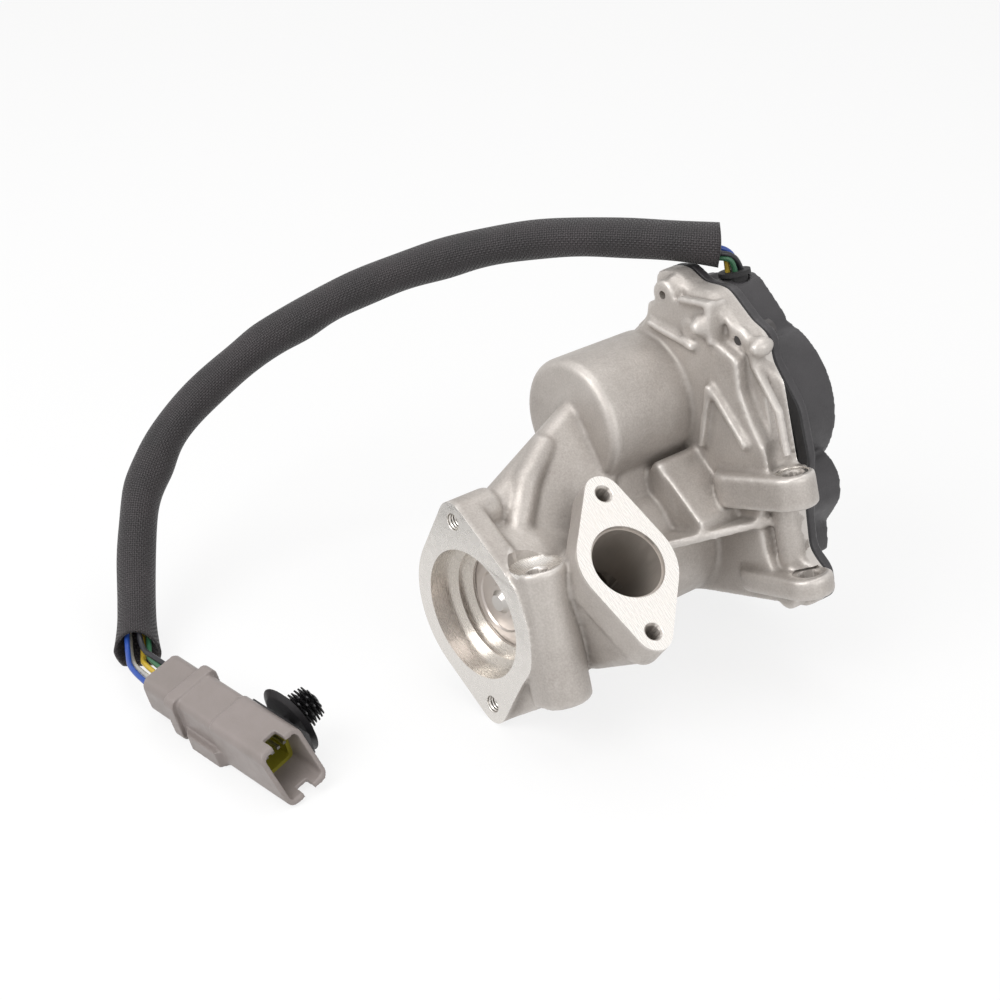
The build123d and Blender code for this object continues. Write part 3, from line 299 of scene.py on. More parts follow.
def cast_aluminium():
    """Blasted die-cast skin, with bright faces and bores where a cutter has been; the port's face is painted
    lighter than the other cut faces as painted light, rounded edges carry a painted highlight and hollows
    painted shade.
    """
    f = Finish("cast_aluminium", tone(178, 171, 165), 0.5, 0.55)
    at = f.placed(f.place, CASTING)
    x, y, z = f.split(at)
    u, v, w = f.split(f.placed(at, PORT))
    across = f.maths("SQRT", f.maths("ADD", f.maths("MULTIPLY", y, y), f.maths("MULTIPLY", z, z)))
    inlet_face = f.maths("LESS_THAN", x, 0.00015)
    off_port = f.maths("ADD", f.maths("MULTIPLY", u, u), f.maths("MULTIPLY", v, v))
    on_port_plane = f.maths("COMPARE", w, 0.0, 0.00015)
    port_face = f.maths("MULTIPLY", on_port_plane, f.maths("LESS_THAN", off_port, PORT_FACE_SIZE**2))
    in_bore = f.maths("MULTIPLY", f.maths("LESS_THAN", across, 0.02285), f.maths("LESS_THAN", x, 0.0145))
    joint_face = f.maths("GREATER_THAN", x, 0.10185)
    faces = f.maths("MAXIMUM", inlet_face, port_face)
    cut = f.maths("MAXIMUM", faces, f.maths("MAXIMUM", in_bore, joint_face))
    for spot_x, spot_y, reach, low, high in SPOT_FACES:
        dx, dy = f.maths("SUBTRACT", x, spot_x), f.maths("SUBTRACT", y, spot_y)
        away = f.maths("ADD", f.maths("MULTIPLY", dx, dx), f.maths("MULTIPLY", dy, dy))
        span = f.maths("COMPARE", z, (low + high) / 2, (high - low) / 2)
        cut = f.maths("MAXIMUM", cut, f.maths("MULTIPLY", f.maths("LESS_THAN", away, reach * reach), span))
    tapped = None
    for hole_z in (0.0325, -0.0325):
        dz = f.maths("SUBTRACT", z, hole_z)
        away = f.maths("ADD", f.maths("MULTIPLY", y, y), f.maths("MULTIPLY", dz, dz))
        here = f.maths("LESS_THAN", away, 0.0034**2)
        tapped = here if tapped is None else f.maths("MAXIMUM", tapped, here)
    cut = f.maths("MAXIMUM", cut, tapped)
    edge = f.add("ShaderNodeAttribute", attribute_name="edge").outputs["Fac"]
    # Rounded edges are really smoother (see the roughness below), and their colour is painted lighter as a
    # painted highlight.
    polish_and_highlight = f.ramp(edge, 0.53, 0.72)
    # Hollows and creases are painted darker: painted shade where less light reaches.
    crease_shade = f.ramp(edge, 0.48, 0.36)
    clouds = f.noise(38.0, 4.0, 0.6)
    speckle = f.noise(1500.0, 2.0, 0.6)
    stain = f.ramp(clouds, 0.32, 0.7)
    skin = f.blend(stain, tone(166, 159, 153), tone(190, 184, 178))
    grain = f.blend(f.ramp(speckle, 0.35, 0.7), tone(150, 143, 138), tone(200, 195, 190))
    skin = f.blend(0.28, skin, grain)
    skin = f.blend(f.maths("MULTIPLY", polish_and_highlight, 0.5), skin, tone(222, 217, 212))
    skin = f.blend(f.maths("MULTIPLY", crease_shade, 0.45), skin, tone(118, 111, 105))
    metal = tone(222, 218, 213)
    # Painted light: the port's face, machined like the other cut faces, is painted lighter than they are, for
    # the light that falls on it.
    milled_with_painted_light = tone(236, 232, 227)
    f.to_shader("Base Color", f.blend(port_face, f.blend(cut, skin, metal), milled_with_painted_light))
    rings = f.maths("SINE", f.maths("MULTIPLY", across, tau / 0.00042))
    depth_rings = f.maths("SINE", f.maths("MULTIPLY", x, tau / 0.0005))
    tool_marks = f.grow(in_bore, rings, depth_rings)
    strokes = f.noise(1.0, 1.0, 0.5, f.stretched(at, (4000.0, 300.0, 300.0)))
    rough_skin = f.ramp(f.noise(260.0, 3.0), 0.3, 0.7, 0.42, 0.6)
    rough_skin = f.grow(polish_and_highlight, rough_skin, 0.38)
    rough_cut = f.ramp(strokes, 0.3, 0.7, 0.2, 0.34)
    f.to_shader("Roughness", f.grow(cut, rough_skin, rough_cut))
    f.to_shader("Metallic", f.grow(port_face, f.grow(cut, 0.5, 0.95), 0.3))
    pits = f.maths("ADD", f.noise(900.0, 3.0, 0.65), f.maths("MULTIPLY", f.noise(140.0, 2.0), 1.5))
    threads = f.maths("SINE", f.maths("MULTIPLY", x, tau / 0.001))
    marks = f.grow(tapped, f.maths("MULTIPLY", tool_marks, 0.02), f.maths("MULTIPLY", threads, 1.5))
    f.relief(f.grow(cut, f.maths("MULTIPLY", pits, 0.9), marks), 0.00012)
    return f.material


def machined_metal(name, colour, roughness, mark=0.00035, metallic=0.95):
    """Turned or drawn metal, with fine marks round the valve's axis."""
    f = Finish(name, colour, roughness, metallic)
    strokes = f.noise(1.0, 1.0, 0.5, f.stretched(f.placed(f.place, CASTING), (1 / mark, 120.0, 120.0)))
    f.to_shader("Roughness", f.ramp(strokes, 0.25, 0.75, roughness * 0.75, roughness * 1.35))
    f.relief(strokes, 0.00002)
    return f.material


def plain_plastic(name, colour, darker, roughness, grain=1200.0, depth=0.00005, metallic=0.0):
    """Moulded plastic with an even fine skin and faint flow clouds."""
    f = Finish(name, colour, roughness, metallic)
    clouds = f.ramp(f.noise(60.0, 3.0, 0.6), 0.3, 0.7)
    f.to_shader("Base Color", f.blend(clouds, darker, colour))
    f.to_shader("Roughness", f.ramp(f.noise(320.0, 2.0), 0.3, 0.7, roughness * 0.88, roughness * 1.12))
    f.relief(f.noise(grain, 2.0, 0.6), depth)
    return f.material


def woven_sleeve():
    """Textile sleeve: threads along and round it pass over and under each other."""
    f = Finish("woven_textile", tone(34, 31, 33), 0.6, 0.0, Sheen_Weight=0.12, Sheen_Roughness=0.4)
    along, round_it, _ = f.split(f.stretched(f.wrap, (1 / WEAVE_PITCH, 1 / WEAVE_PITCH, 1.0)))
    warp = f.maths("ABSOLUTE", f.maths("SINE", f.maths("MULTIPLY", along, pi)))
    weft = f.maths("ABSOLUTE", f.maths("SINE", f.maths("MULTIPLY", round_it, pi)))
    cells = f.maths("ADD", f.maths("FLOOR", along), f.maths("FLOOR", round_it))
    over = f.maths("FLOORED_MODULO", cells, 2.0)
    crown = f.grow(over, warp, weft)
    fibre = f.noise(2500.0, 2.0, 0.6)
    wear = f.ramp(f.noise(55.0, 3.0, 0.6), 0.35, 0.75)
    dark = f.blend(wear, tone(7, 6, 7), tone(13, 11, 12))
    light = f.blend(wear, tone(34, 29, 31), tone(54, 46, 49))
    # Painted light: thread crowns are painted lighter as a painted highlight and the gaps between threads
    # darker as painted shade, on top of the weave's bump.
    f.to_shader("Base Color", f.blend(f.maths("POWER", crown, 1.6), dark, light))
    f.to_shader("Roughness", f.ramp(crown, 0.0, 1.0, 0.75, 0.48))
    f.relief(f.maths("ADD", crown, f.maths("MULTIPLY", fibre, 0.3)), 0.0003, 0.8)
    return f.material


def wire_insulation(name, colour):
    f = Finish(name, colour, 0.35)
    f.to_shader("Roughness", f.ramp(f.noise(400.0, 2.0), 0.3, 0.7, 0.28, 0.42))
    f.relief(f.noise(900.0, 2.0), 0.00003)
    return f.material


WEAVE_PITCH = 0.85 * MM
casting_skin = cast_aluminium()
bright_steel = machined_metal("turned_steel", tone(196, 192, 188), 0.3)
stainless = machined_metal("stainless", tone(190, 182, 176), 0.34, 0.0002)
liner_steel = machined_metal("liner_steel", tone(176, 168, 160), 0.42, 0.0002, 0.55)
dark_screw = machined_metal("dark_screw", tone(86, 84, 84), 0.4)
bronze = machined_metal("sintered_bronze", tone(176, 130, 82), 0.45)
zinc = machined_metal("zinc_plate", tone(186, 186, 184), 0.36)
copper = machined_metal("copper", tone(196, 116, 78), 0.34)
magnet_grey = plain_plastic("magnet", tone(70, 68, 68), tone(56, 54, 54), 0.55)
gear_ivory = plain_plastic("gear_plastic", tone(214, 206, 188), tone(198, 190, 172), 0.4)
black_rubber = plain_plastic("black_rubber", tone(34, 33, 34), tone(26, 25, 26), 0.7)
carbon = plain_plastic("carbon", tone(42, 42, 44), tone(30, 30, 31), 0.5)
board_green = plain_plastic("circuit_board", tone(34, 86, 58), tone(26, 70, 46), 0.4)
card_brown = plain_plastic("brush_card", tone(116, 84, 52), tone(96, 68, 42), 0.55)
cover_black = plain_plastic("cover_plastic", tone(60, 58, 60), tone(50, 48, 50), 0.48, 1500.0, 0.00012)
connector_grey = plain_plastic("connector_plastic", tone(140, 131, 128), tone(130, 122, 118), 0.42)
seal_green = plain_plastic("seal_silicone", tone(146, 140, 40), tone(120, 115, 30), 0.45)
clip_black = plain_plastic("clip_plastic", tone(38, 37, 39), tone(28, 27, 29), 0.42)
sleeve_textile = woven_sleeve()

NODE_FINISH = {
    casting_skin: ["valve_housing"],
    stainless: ["valve_seat", "valve_disc"],
    liner_steel: ["port_liner"],
    dark_screw: ["cover_screws"],
    bright_steel: [
        "valve_stem", "crosshead", "drive_pin", "cam_rollers", "return_spring", "guide_sleeve",
        "intermediate_pin", "motor_shaft", "motor_armature", "motor_pinion",
    ],
    bronze: ["stem_bush", "output_bearing", "motor_bushes"],
    black_rubber: ["stem_seal", "cover_gasket", "wire_grommet"],
    gear_ivory: ["output_gear", "intermediate_gear"],
    magnet_grey: ["sensor_magnet", "motor_magnets"],
    board_green: ["sensor_board"],
    card_brown: ["motor_brush_card"],
    carbon: ["motor_brushes"],
    zinc: ["motor_can", "motor_end_plate", "connector_terminals"],
    copper: ["motor_windings", "motor_commutator"],
    cover_black: ["gear_cover"],
    connector_grey: ["connector_housing", "connector_cap"],
    seal_green: ["connector_seal"],
    clip_black: ["fixing_clip"],
}
for finish, names in NODE_FINISH.items():
    for name in names:
        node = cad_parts[name]
        node.data.materials.clear()
        node.data.materials.append(finish)

# ---------------------------------------------------------------- lead: pieces

RING_STEP = 1.2 * MM
RING_POINTS = 56
# Slack places of the sleeve: share of its length, half width, height and side (turns)
SLEEVE_BULGES = [
    (0.33, 0.030, 0.10, 0.50),
    (0.52, 0.025, 0.16, 0.55),
    (0.575, 0.020, 0.08, 0.10),
    (0.77, 0.022, 0.15, 0.50),
    (0.80, 0.020, 0.10, 0.00),
    (0.97, 0.040, 0.07, 0.30),
]

SLEEVE_SKEW = 5.0 * MM           # how far its lower end is cut askew, and which way that end opens
SLEEVE_OPENS = Vector((-0.45, -0.5, 0.74))
UPPER_SKEW = 3.2 * MM            # the same for its upper end, and the side that reaches out
UPPER_REACH = Vector((-0.54, -0.67, 0.25))


def spaced(line, step):
    """Evenly spaced points along a line."""
    ends = [0.0]
    for a, b in zip(line, line[1:]):
        ends.append(ends[-1] + (b - a).length)
    count = round(ends[-1] / step)
    places = np.linspace(0, ends[-1], count + 1)
    columns = [np.interp(places, ends, [p[axis] for p in line]) for axis in range(3)]
    return [Vector(p) for p in zip(*columns)], places


def sleeve_radius(share, turn):
    radius = 1 + 0.02 * sin(9 * tau * share + 2) * cos(2 * tau * turn)
    for place, width, height, side in SLEEVE_BULGES:
        reach = (share - place) / width
        facing = max(0.0, cos(tau * (turn - side)))
        radius += height * facing * 2.0 ** (-reach * reach)
    return SLEEVE_RADIUS * radius


def build_sleeve():
    """The sleeve's wall, outside and inside, round the smooth line of its route."""
    line, places = spaced(line_of([Vector(p) * MM for p in SLEEVE_ROUTE]), RING_STEP)
    mesh = bmesh.new()
    layer = mesh.loops.layers.uv.new("UVMap")
    side = Vector((0, 0, 1))
    rings = []
    for k, point in enumerate(line):
        ahead = (line[min(k + 1, len(line) - 1)] - line[max(k - 1, 0)]).normalized()
        side = (side - ahead * side.dot(ahead)).normalized()
        across = ahead.cross(side)
        outer, inner = [], []
        for j in range(RING_POINTS):
            turn = j / RING_POINTS
            out = side * cos(tau * turn) + across * sin(tau * turn)
            radius = sleeve_radius(places[k] / places[-1], turn)
            # The lower end is cut askew and spreads where it rests
            late = max(0.0, (places[k] / places[-1] - 0.955) / 0.045)
            radius *= 1 + 0.2 * late * late * (1 - abs(out.z))
            early = max(0.0, 1 - places[k] / places[-1] / 0.09)
            radius *= 1 + 0.22 * early * early * max(0.0, -out.z)
            skew = SLEEVE_SKEW * late * out.dot(SLEEVE_OPENS) + UPPER_SKEW * early * out.dot(UPPER_REACH)
            slip = ahead * -skew
            for ring, reach in ((outer, radius), (inner, radius - SLEEVE_WALL)):
                at = point + slip + out * reach
                at.z = max(at.z, TABLE_Z + (0.1 * MM if ring is outer else SLEEVE_WALL))
                ring.append(mesh.verts.new(at))
        rings.append((outer, inner))
    around = tau * SLEEVE_RADIUS

    def quad(corners, spots):
        face = mesh.faces.new(corners)
        for loop, spot in zip(face.loops, spots):
            loop[layer].uv = spot

    for j in range(RING_POINTS):
        n = (j + 1) % RING_POINTS
        v0, v1 = around * j / RING_POINTS, around * (j + 1) / RING_POINTS
        for k in range(len(rings) - 1):
            u0, u1 = places[k], places[k + 1]
            (oa, ia), (ob, ib) = rings[k], rings[k + 1]
            quad([oa[j], oa[n], ob[n], ob[j]], [(u0, v0), (u0, v1), (u1, v1), (u1, v0)])
            quad([ia[n], ia[j], ib[j], ib[n]], [(u0, v1), (u0, v0), (u1, v0), (u1, v1)])
        first, last = rings[0], rings[-1]
        spots = [(0, v1), (0, v0), (-SLEEVE_WALL, v0), (-SLEEVE_WALL, v1)]
        quad([first[0][n], first[0][j], first[1][j], first[1][n]], spots)
        end = places[-1]
        spots = [(end, v0), (end, v1), (end + SLEEVE_WALL, v1), (end + SLEEVE_WALL, v0)]
        quad([last[0][j], last[0][n], last[1][n], last[1][j]], spots)
    data = bpy.data.meshes.new("woven_sleeve")
    mesh.to_mesh(data)
    mesh.free()
    for face in data.polygons:
        face.use_smooth = True
    data.materials.append(sleeve_textile)
    piece = bpy.data.objects.new("woven_sleeve", data)
    bpy.context.scene.collection.objects.link(piece)
    return piece, line


WIRE_COLOURS = {
    "blue": tone(40, 76, 158),
    "white": tone(176, 174, 168),
    "yellow": tone(198, 168, 56),
    "green": tone(54, 104, 74),
    "black": tone(36, 36, 40),
}

woven, sleeve_line = build_sleeve()
wires = []
for index, (colour, paint) in enumerate(WIRE_COLOURS.items()):
    wire = nurbs(f"wire_{colour}", wire_route(index), WIRE_RADIUS)
    wire.data.materials.append(wire_insulation(f"insulation_{colour}", paint))
    wires.append(wire)

# ---------------------------------------------------------------- casting: softened skin

SKIN_VOXEL = 0.8 * MM
SKIN_PASSES = 7
FACE_LIFT = 3.0 * MM             # a machined face is cut this far below the cast skin
BORE_EASE = 0.03
SCREWS = [(-17.5, 84.5), (-45.8, 68.6), (28.5, 40.0), (34.0, -20.0), (-52.5, -19.0)]
INLET_FACE = Matrix.Rotation(radians(-90), 4, "Y")
JOINT_FACE = Matrix.Translation((102.0 * MM, 0, 0)) @ Matrix.Rotation(radians(90), 4, "Y")
INLET_HOLES = [(0, 32.5), (0, -32.5)]
PORT_HOLE_REACH = 25
PORT_HOLE_TURN = radians(15.7)
PORT_HOLE_PLACE = (PORT_HOLE_REACH * sin(PORT_HOLE_TURN), PORT_HOLE_REACH * cos(PORT_HOLE_TURN))
PORT_HOLES = [(side * PORT_HOLE_PLACE[0], side * PORT_HOLE_PLACE[1]) for side in (1, -1)]
CAST_FACES = 190000              # triangles that a finished piece may have
COVER_FACES = 150000
SOCKET_FACES = 120000
CAP_FACES = 60000
SHARP_ANGLE = radians(42)


def prism(mesh, corners, start, end):
    """A plate whose outline is given as (Y, Z), from x = start to end, in the casting's millimetres."""
    near = [mesh.verts.new(CASTING @ (Vector((start, y, z)) * MM)) for y, z in corners]
    far = [mesh.verts.new(CASTING @ (Vector((end, y, z)) * MM)) for y, z in corners]
    mesh.faces.new(near)
    mesh.faces.new(list(reversed(far)))
    for k in range(len(corners)):
        n = (k + 1) % len(corners)
        mesh.faces.new((near[n], near[k], far[k], far[n]))


def lathe(mesh, placement, profile, sides=128):
    """A solid of revolution about z, from a profile of (radius, height) in millimetres."""
    rings = []
    for radius, height in profile:
        ring = []
        for k in range(sides):
            a = tau * k / sides
            at = Vector((radius * cos(a), radius * sin(a), height)) * MM
            ring.append(mesh.verts.new(placement @ at))
        rings.append(ring)
    for low, high in zip(rings, rings[1:]):
        for k in range(sides):
            n = (k + 1) % sides
            mesh.faces.new((low[k], low[n], high[n], high[k]))
    mesh.faces.new(list(reversed(rings[0])))
    mesh.faces.new(rings[-1])


def bar(mesh, points, radius):
    """A round rib through points of the casting, in millimetres."""
    for a, b in zip(points, points[1:]):
        start, end = (CASTING @ (Vector(p) * MM) for p in (a, b))
        turn = (end - start).to_track_quat("Z", "Y").to_matrix().to_4x4()
        span = (end - start).length / MM
        tip, nose = radius * 0.4, radius * 0.9
        profile = [(tip, -nose), (radius, 0), (radius, span), (tip, span + nose)]
        lathe(mesh, Matrix.Translation(start) @ turn, profile, 24)


def strip(mesh, path, width, start, end):
    """A flat rib of even width along a (Y, Z) path."""
    for a, b in zip(path, path[1:]):
        run = Vector((b[0] - a[0], b[1] - a[1]))
        side = Vector((-run.y, run.x)).normalized() * width / 2
        more = run.normalized() * width / 3
        ends = Vector(a) - more, Vector(b) + more
        prism(mesh, [ends[0] - side, ends[1] - side, ends[1] + side, ends[0] + side], start, end)


def solid_object(name, mesh):
    data = bpy.data.meshes.new(name)
    bmesh.ops.recalc_face_normals(mesh, faces=mesh.faces)
    mesh.to_mesh(data)
    mesh.free()
    piece = bpy.data.objects.new(name, data)
    bpy.context.scene.collection.objects.link(piece)
    return piece


def settle(piece):
    """Put the result of the modifiers into the mesh."""
    bpy.context.view_layer.update()
    result = bpy.data.meshes.new_from_object(piece.evaluated_get(bpy.context.evaluated_depsgraph_get()))
    piece.modifiers.clear()
    old = piece.data
    piece.data = result
    bpy.data.meshes.remove(old)


def carve(piece, cutter):
    change = piece.modifiers.new("carve", "BOOLEAN")
    change.operation = "DIFFERENCE"
    change.solver = "EXACT"
    change.object = cutter
    settle(piece)
    bpy.data.objects.remove(cutter)


def lift_face(mesh, placement, reach):
    """Move the points of a machined face outwards, so that softening leaves metal to cut."""
    back = placement.inverted()
    out = placement.to_3x3() @ Vector((0, 0, FACE_LIFT))
    for vertex in mesh.verts:
        at = back @ vertex.co
        if abs(at.z) < 2e-5 and at.xy.length < reach:
            vertex.co += out


def level(mesh, centre, radius, depth):
    """Cut a round boss of the casting down to x = depth."""
    back = CASTING.inverted()
    for vertex in mesh.verts:
        at = back @ vertex.co
        if (at.yz - Vector(centre) * MM).length < radius * MM and at.x < depth * MM and at.x > 86 * MM:
            vertex.co = CASTING @ Vector((depth * MM, at.y, at.z))


def clear_old_forms(mesh):
    """Set back what stands proud in the plain model where the cast skin has finer forms."""
    back = CASTING.inverted()
    level(mesh, SCREWS[1], 5.2, 94.6)
    level(mesh, (-52.0, 66.0), 3.7, 94.0)
    for vertex in mesh.verts:
        x, y, z = (back @ vertex.co) / MM
        on_rib = -50 < y < -20 and 30 < z < 60 and Vector((y, z - 48.6)).length > 23.5
        if on_rib and 86 < x < 89.9:
            vertex.co = CASTING @ (Vector((90.1, y, z)) * MM)
        if x < 1.4 and y < -20 and Vector((y, z)).length > 29.7:
            vertex.co = CASTING @ (Vector((1.4, y, z)) * MM)


def cast_details(mesh):
    """Pads, ribs and steps of the casting that the plain model leaves out."""
    clear_old_forms(mesh)
    fairing = [(20, 6), (28.4, 8), (28.2, 20), (24.5, 37), (20, 39)]
    lathe(mesh, CASTING @ Matrix.Rotation(radians(90), 4, "Y"), fairing, 64)
    strip(mesh, [(-34.6, 53.5), (-26, 33)], 2.4, 87.0, 92)
    strip(mesh, [(-34.6, 53.5), (-46.4, 34)], 2.6, 87.6, 92)
    plateau = [
        (-20, 83), (-41, 82), (-39, 69), (-47.5, 63), (-46.5, 52), (-49.5, 41.5), (-53, 34), (-44, 30),
        (-30, 55), (-20, 66),
    ]
    prism(mesh, plateau, 90.2, 97)
    prism(mesh, [(-17, 30), (-20, 30.5), (-36.5, 11), (-36, 6.5), (-20, 4), (-8, 14)], 72.5, 91)
    strip(mesh, [(-10, 74.9), (-29, 67.3)], 2.4, 87.6, 92)
    strip(mesh, [(-39.6, 82), (-37.8, 69)], 2.2, 88.4, 92)
    strip(mesh, [(-26, 83.6), (-40, 81.8)], 2.0, 88.8, 92)
    rim = [
        (-19, 89.3), (-26, 84.2), (-36, 82.4), (-44.2, 72.3), (-51.2, 67), (-50.9, 60), (-58.3, 44.5),
        (-58.8, 27),
    ]
    strip(mesh, rim, 2.6, 93.8, 97)
    bar(mesh, [(88, -35.7, 74.8), (97, -35.7, 74.8)], 3.8)
    bar(mesh, [(95, -54.4, 66.4), (98, -54.4, 66.4)], 3.4)
    bar(mesh, [(41, -2, 46), (28, -6, 38), (20, -8.5, 26), (17, -11.5, 14)], 4.8)
    bar(mesh, [(97.7, -51.4, -12), (97.7, -51.4, 13)], 4.8)


def mark_edges(data):
    """Store how far each point stands out: over 0.5 on rounded edges, under it in hollows."""
    count = len(data.vertices)
    places = np.empty(count * 3, np.float32)
    normals = np.empty(count * 3, np.float32)
    pairs = np.empty(len(data.edges) * 2, np.int32)
    data.vertices.foreach_get("co", places)
    data.vertices.foreach_get("normal", normals)
    data.edges.foreach_get("vertices", pairs)
    places, normals, pairs = places.reshape(-1, 3), normals.reshape(-1, 3), pairs.reshape(-1, 2)
    first, second = np.r_[pairs[:, 0], pairs[:, 1]], np.r_[pairs[:, 1], pairs[:, 0]]
    ties = np.bincount(first, minlength=count).clip(1)
    run = places[first] - places[second]
    length = np.linalg.norm(run, axis=1).clip(1e-7)
    bulge = np.bincount(first, (run * normals[first]).sum(1) / length**2 * MM, count) / ties
    for _ in range(6):
        bulge = 0.5 * bulge + 0.5 * np.bincount(first, bulge[second], count) / ties
    layer = data.attributes.new("edge", "FLOAT", "POINT")
    layer.data.foreach_set("value", (0.5 + bulge).clip(0, 1).astype(np.float32))


def face_cutter(faces):
    """Discs that stand on the machined faces and take off what was lifted over them."""
    mesh = bmesh.new()
    for placement, reach in faces:
        lathe(mesh, placement, [(reach / MM, 0), (reach / MM, 9)])
    return solid_object("face_cutter", mesh)


def bore_cutters():
    """Clean bores, tapped holes and spot faces of the casting, as two groups that don't overlap."""
    e = BORE_EASE
    stem = bmesh.new()
    along = CASTING @ Matrix.Rotation(radians(90), 4, "Y")
    lathe(stem, along, [
        (22.75 + e, -4), (22.75 + e, 9.6), (19.8 + e, 9.6), (19.8 + e, 13.6), (17 + e, 13.6), (17 + e, 19.4),
        (16 + e, 19.4), (16 + e, 48.1), (5.5 + e, 48.1), (5.5 + e, 59.1), (7.5 + e, 59.1), (7.5 + e, 75.9),
        (17 + e, 75.9), (17 + e, 106),
    ])
    shift = CASTING @ Matrix.Translation(Vector((0, 0, 48.6)) * MM) @ Matrix.Rotation(radians(90), 4, "Y")
    lathe(stem, shift, [(19.3 + e, 57.4), (19.3 + e, 106)])
    for y, z in SCREWS:
        shift = CASTING @ Matrix.Translation(Vector((0, y, z)) * MM) @ Matrix.Rotation(radians(90), 4, "Y")
        lathe(stem, shift, [(1.75, 93.8), (1.75, 106)], 24)
    shift = CASTING @ Matrix.Translation(Vector((0, *SCREWS[0])) * MM) @ Matrix.Rotation(radians(90), 4, "Y")
    lathe(stem, shift, [(1.5, 86), (1.5, 92.8)], 24)
    shift = CASTING @ Matrix.Translation(Vector((0, -27.91, 41.49)) * MM) @ Matrix.Rotation(radians(90), 4, "Y")
    lathe(stem, shift, [(2.03, 92), (2.03, 106)], 32)
    tapped = [(2.5, -15), (2.5, -0.8), (3.3, 0), (5.3, 2.0)]
    for y, z in INLET_HOLES:
        lathe(stem, CASTING @ Matrix.Translation(Vector((0, y, z)) * MM) @ INLET_FACE, tapped, 48)
    front = CASTING @ Matrix.Translation(Vector((10, -27.2, 0)) * MM)
    lathe(stem, front, [(3.3, -40), (3.3, 15.8), (4.8, 15.8), (8.6, 18.0), (8.6, 22)], 64)
    side = CASTING @ Matrix.Translation(Vector((95.3, -60, 0)) * MM)
    lathe(stem, side, [(3.3, -30), (3.3, -11.6), (5.6, -11.6), (5.6, -10.8), (3.3, -10.8), (3.3, -2)], 64)
    lathe(stem, side, [(3.3, 6), (3.3, 23.9), (5.6, 23.9), (5.6, 30)], 64)
    port = bmesh.new()
    place = CASTING @ PORT
    lathe(port, place, [(12.9 + e, -41.5), (12.9 + e, 4)])
    for u, v in PORT_HOLES:
        tapped = [(2.5, -11), (2.5, -0.8), (3.3, 0), (5.3, 2.0)]
        lathe(port, place @ Matrix.Translation(Vector((u, v, 0)) * MM), tapped, 48)
    return solid_object("stem_cutter", stem), solid_object("port_cutter", port)


def form_of(node):
    """The CAD form of a node, with the points that its faces share joined."""
    mesh = bmesh.new()
    mesh.from_mesh(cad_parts[node].data)
    bmesh.ops.remove_doubles(mesh, verts=mesh.verts, dist=1e-6)
    return mesh


def melt(piece, voxel, passes):
    """One even skin over all that the piece is made of, with its edges rounded."""
    skin = piece.modifiers.new("skin", "REMESH")
    skin.mode = "VOXEL"
    skin.voxel_size = voxel
    soften = piece.modifiers.new("soften", "SMOOTH")
    soften.factor = 0.5
    soften.iterations = passes
    settle(piece)


def thin_out(piece, faces):
    """Fewer faces, shaded smooth."""
    fewer = piece.modifiers.new("fewer", "DECIMATE")
    fewer.ratio = min(1.0, faces / (2 * len(piece.data.polygons)))
    settle(piece)
    for face in piece.data.polygons:
        face.use_smooth = True


def build_casting():
    """The casting's cast skin: its CAD form and its small details melted together, then machined."""
    mesh = form_of("valve_housing")
    faces = [(CASTING @ INLET_FACE, 0.06), (CASTING @ PORT, PORT_FACE_SIZE), (CASTING @ JOINT_FACE, 0.15)]
    for placement, reach in faces:
        lift_face(mesh, placement, reach)
    cast_details(mesh)
    piece = solid_object("casting", mesh)
    melt(piece, SKIN_VOXEL, SKIN_PASSES)
    for cutter in (face_cutter(faces), *bore_cutters()):
        carve(piece, cutter)
    thin_out(piece, CAST_FACES)
    piece.data.set_sharp_from_angle(angle=SHARP_ANGLE)
    mark_edges(piece.data)
    piece.data.materials.clear()
    piece.data.materials.append(casting_skin)
    return piece


def moulded(name, node, voxel, passes, faces):
    """A moulding's rounded copy of its CAD form."""
    piece = solid_object(name, form_of(node))
    melt(piece, voxel, passes)
    thin_out(piece, faces)
    piece.data.materials.clear()
    piece.data.materials.append(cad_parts[node].data.materials[0])
    return piece


casting = build_casting()
moulded_cover = moulded("moulded_cover", "gear_cover", 0.65 * MM, 3, COVER_FACES)
moulded_socket = moulded("moulded_socket", "connector_housing", 0.36 * MM, 4, SOCKET_FACES)
moulded_cap = moulded("moulded_cap", "connector_cap", 0.36 * MM, 5, CAP_FACES)

# ---------------------------------------------------------------- push clip

CLIP_PLACE = Vector((-20.5, 8.5, 0.0)) * MM
CLIP_SIZES = {
    "Fins": 6,
    "Pitch": 1.9 * MM,
    "Fin radius": 7.4 * MM,
    "Flange radius": 12.6 * MM,
    "Finish": clip_black,
}
BARB_COUNT = 11
BARB_LEAN = radians(102)
FIN_TURN = radians(16)           # each fin is turned by this from the last, and a little smaller
FIN_SHRINK = -0.04


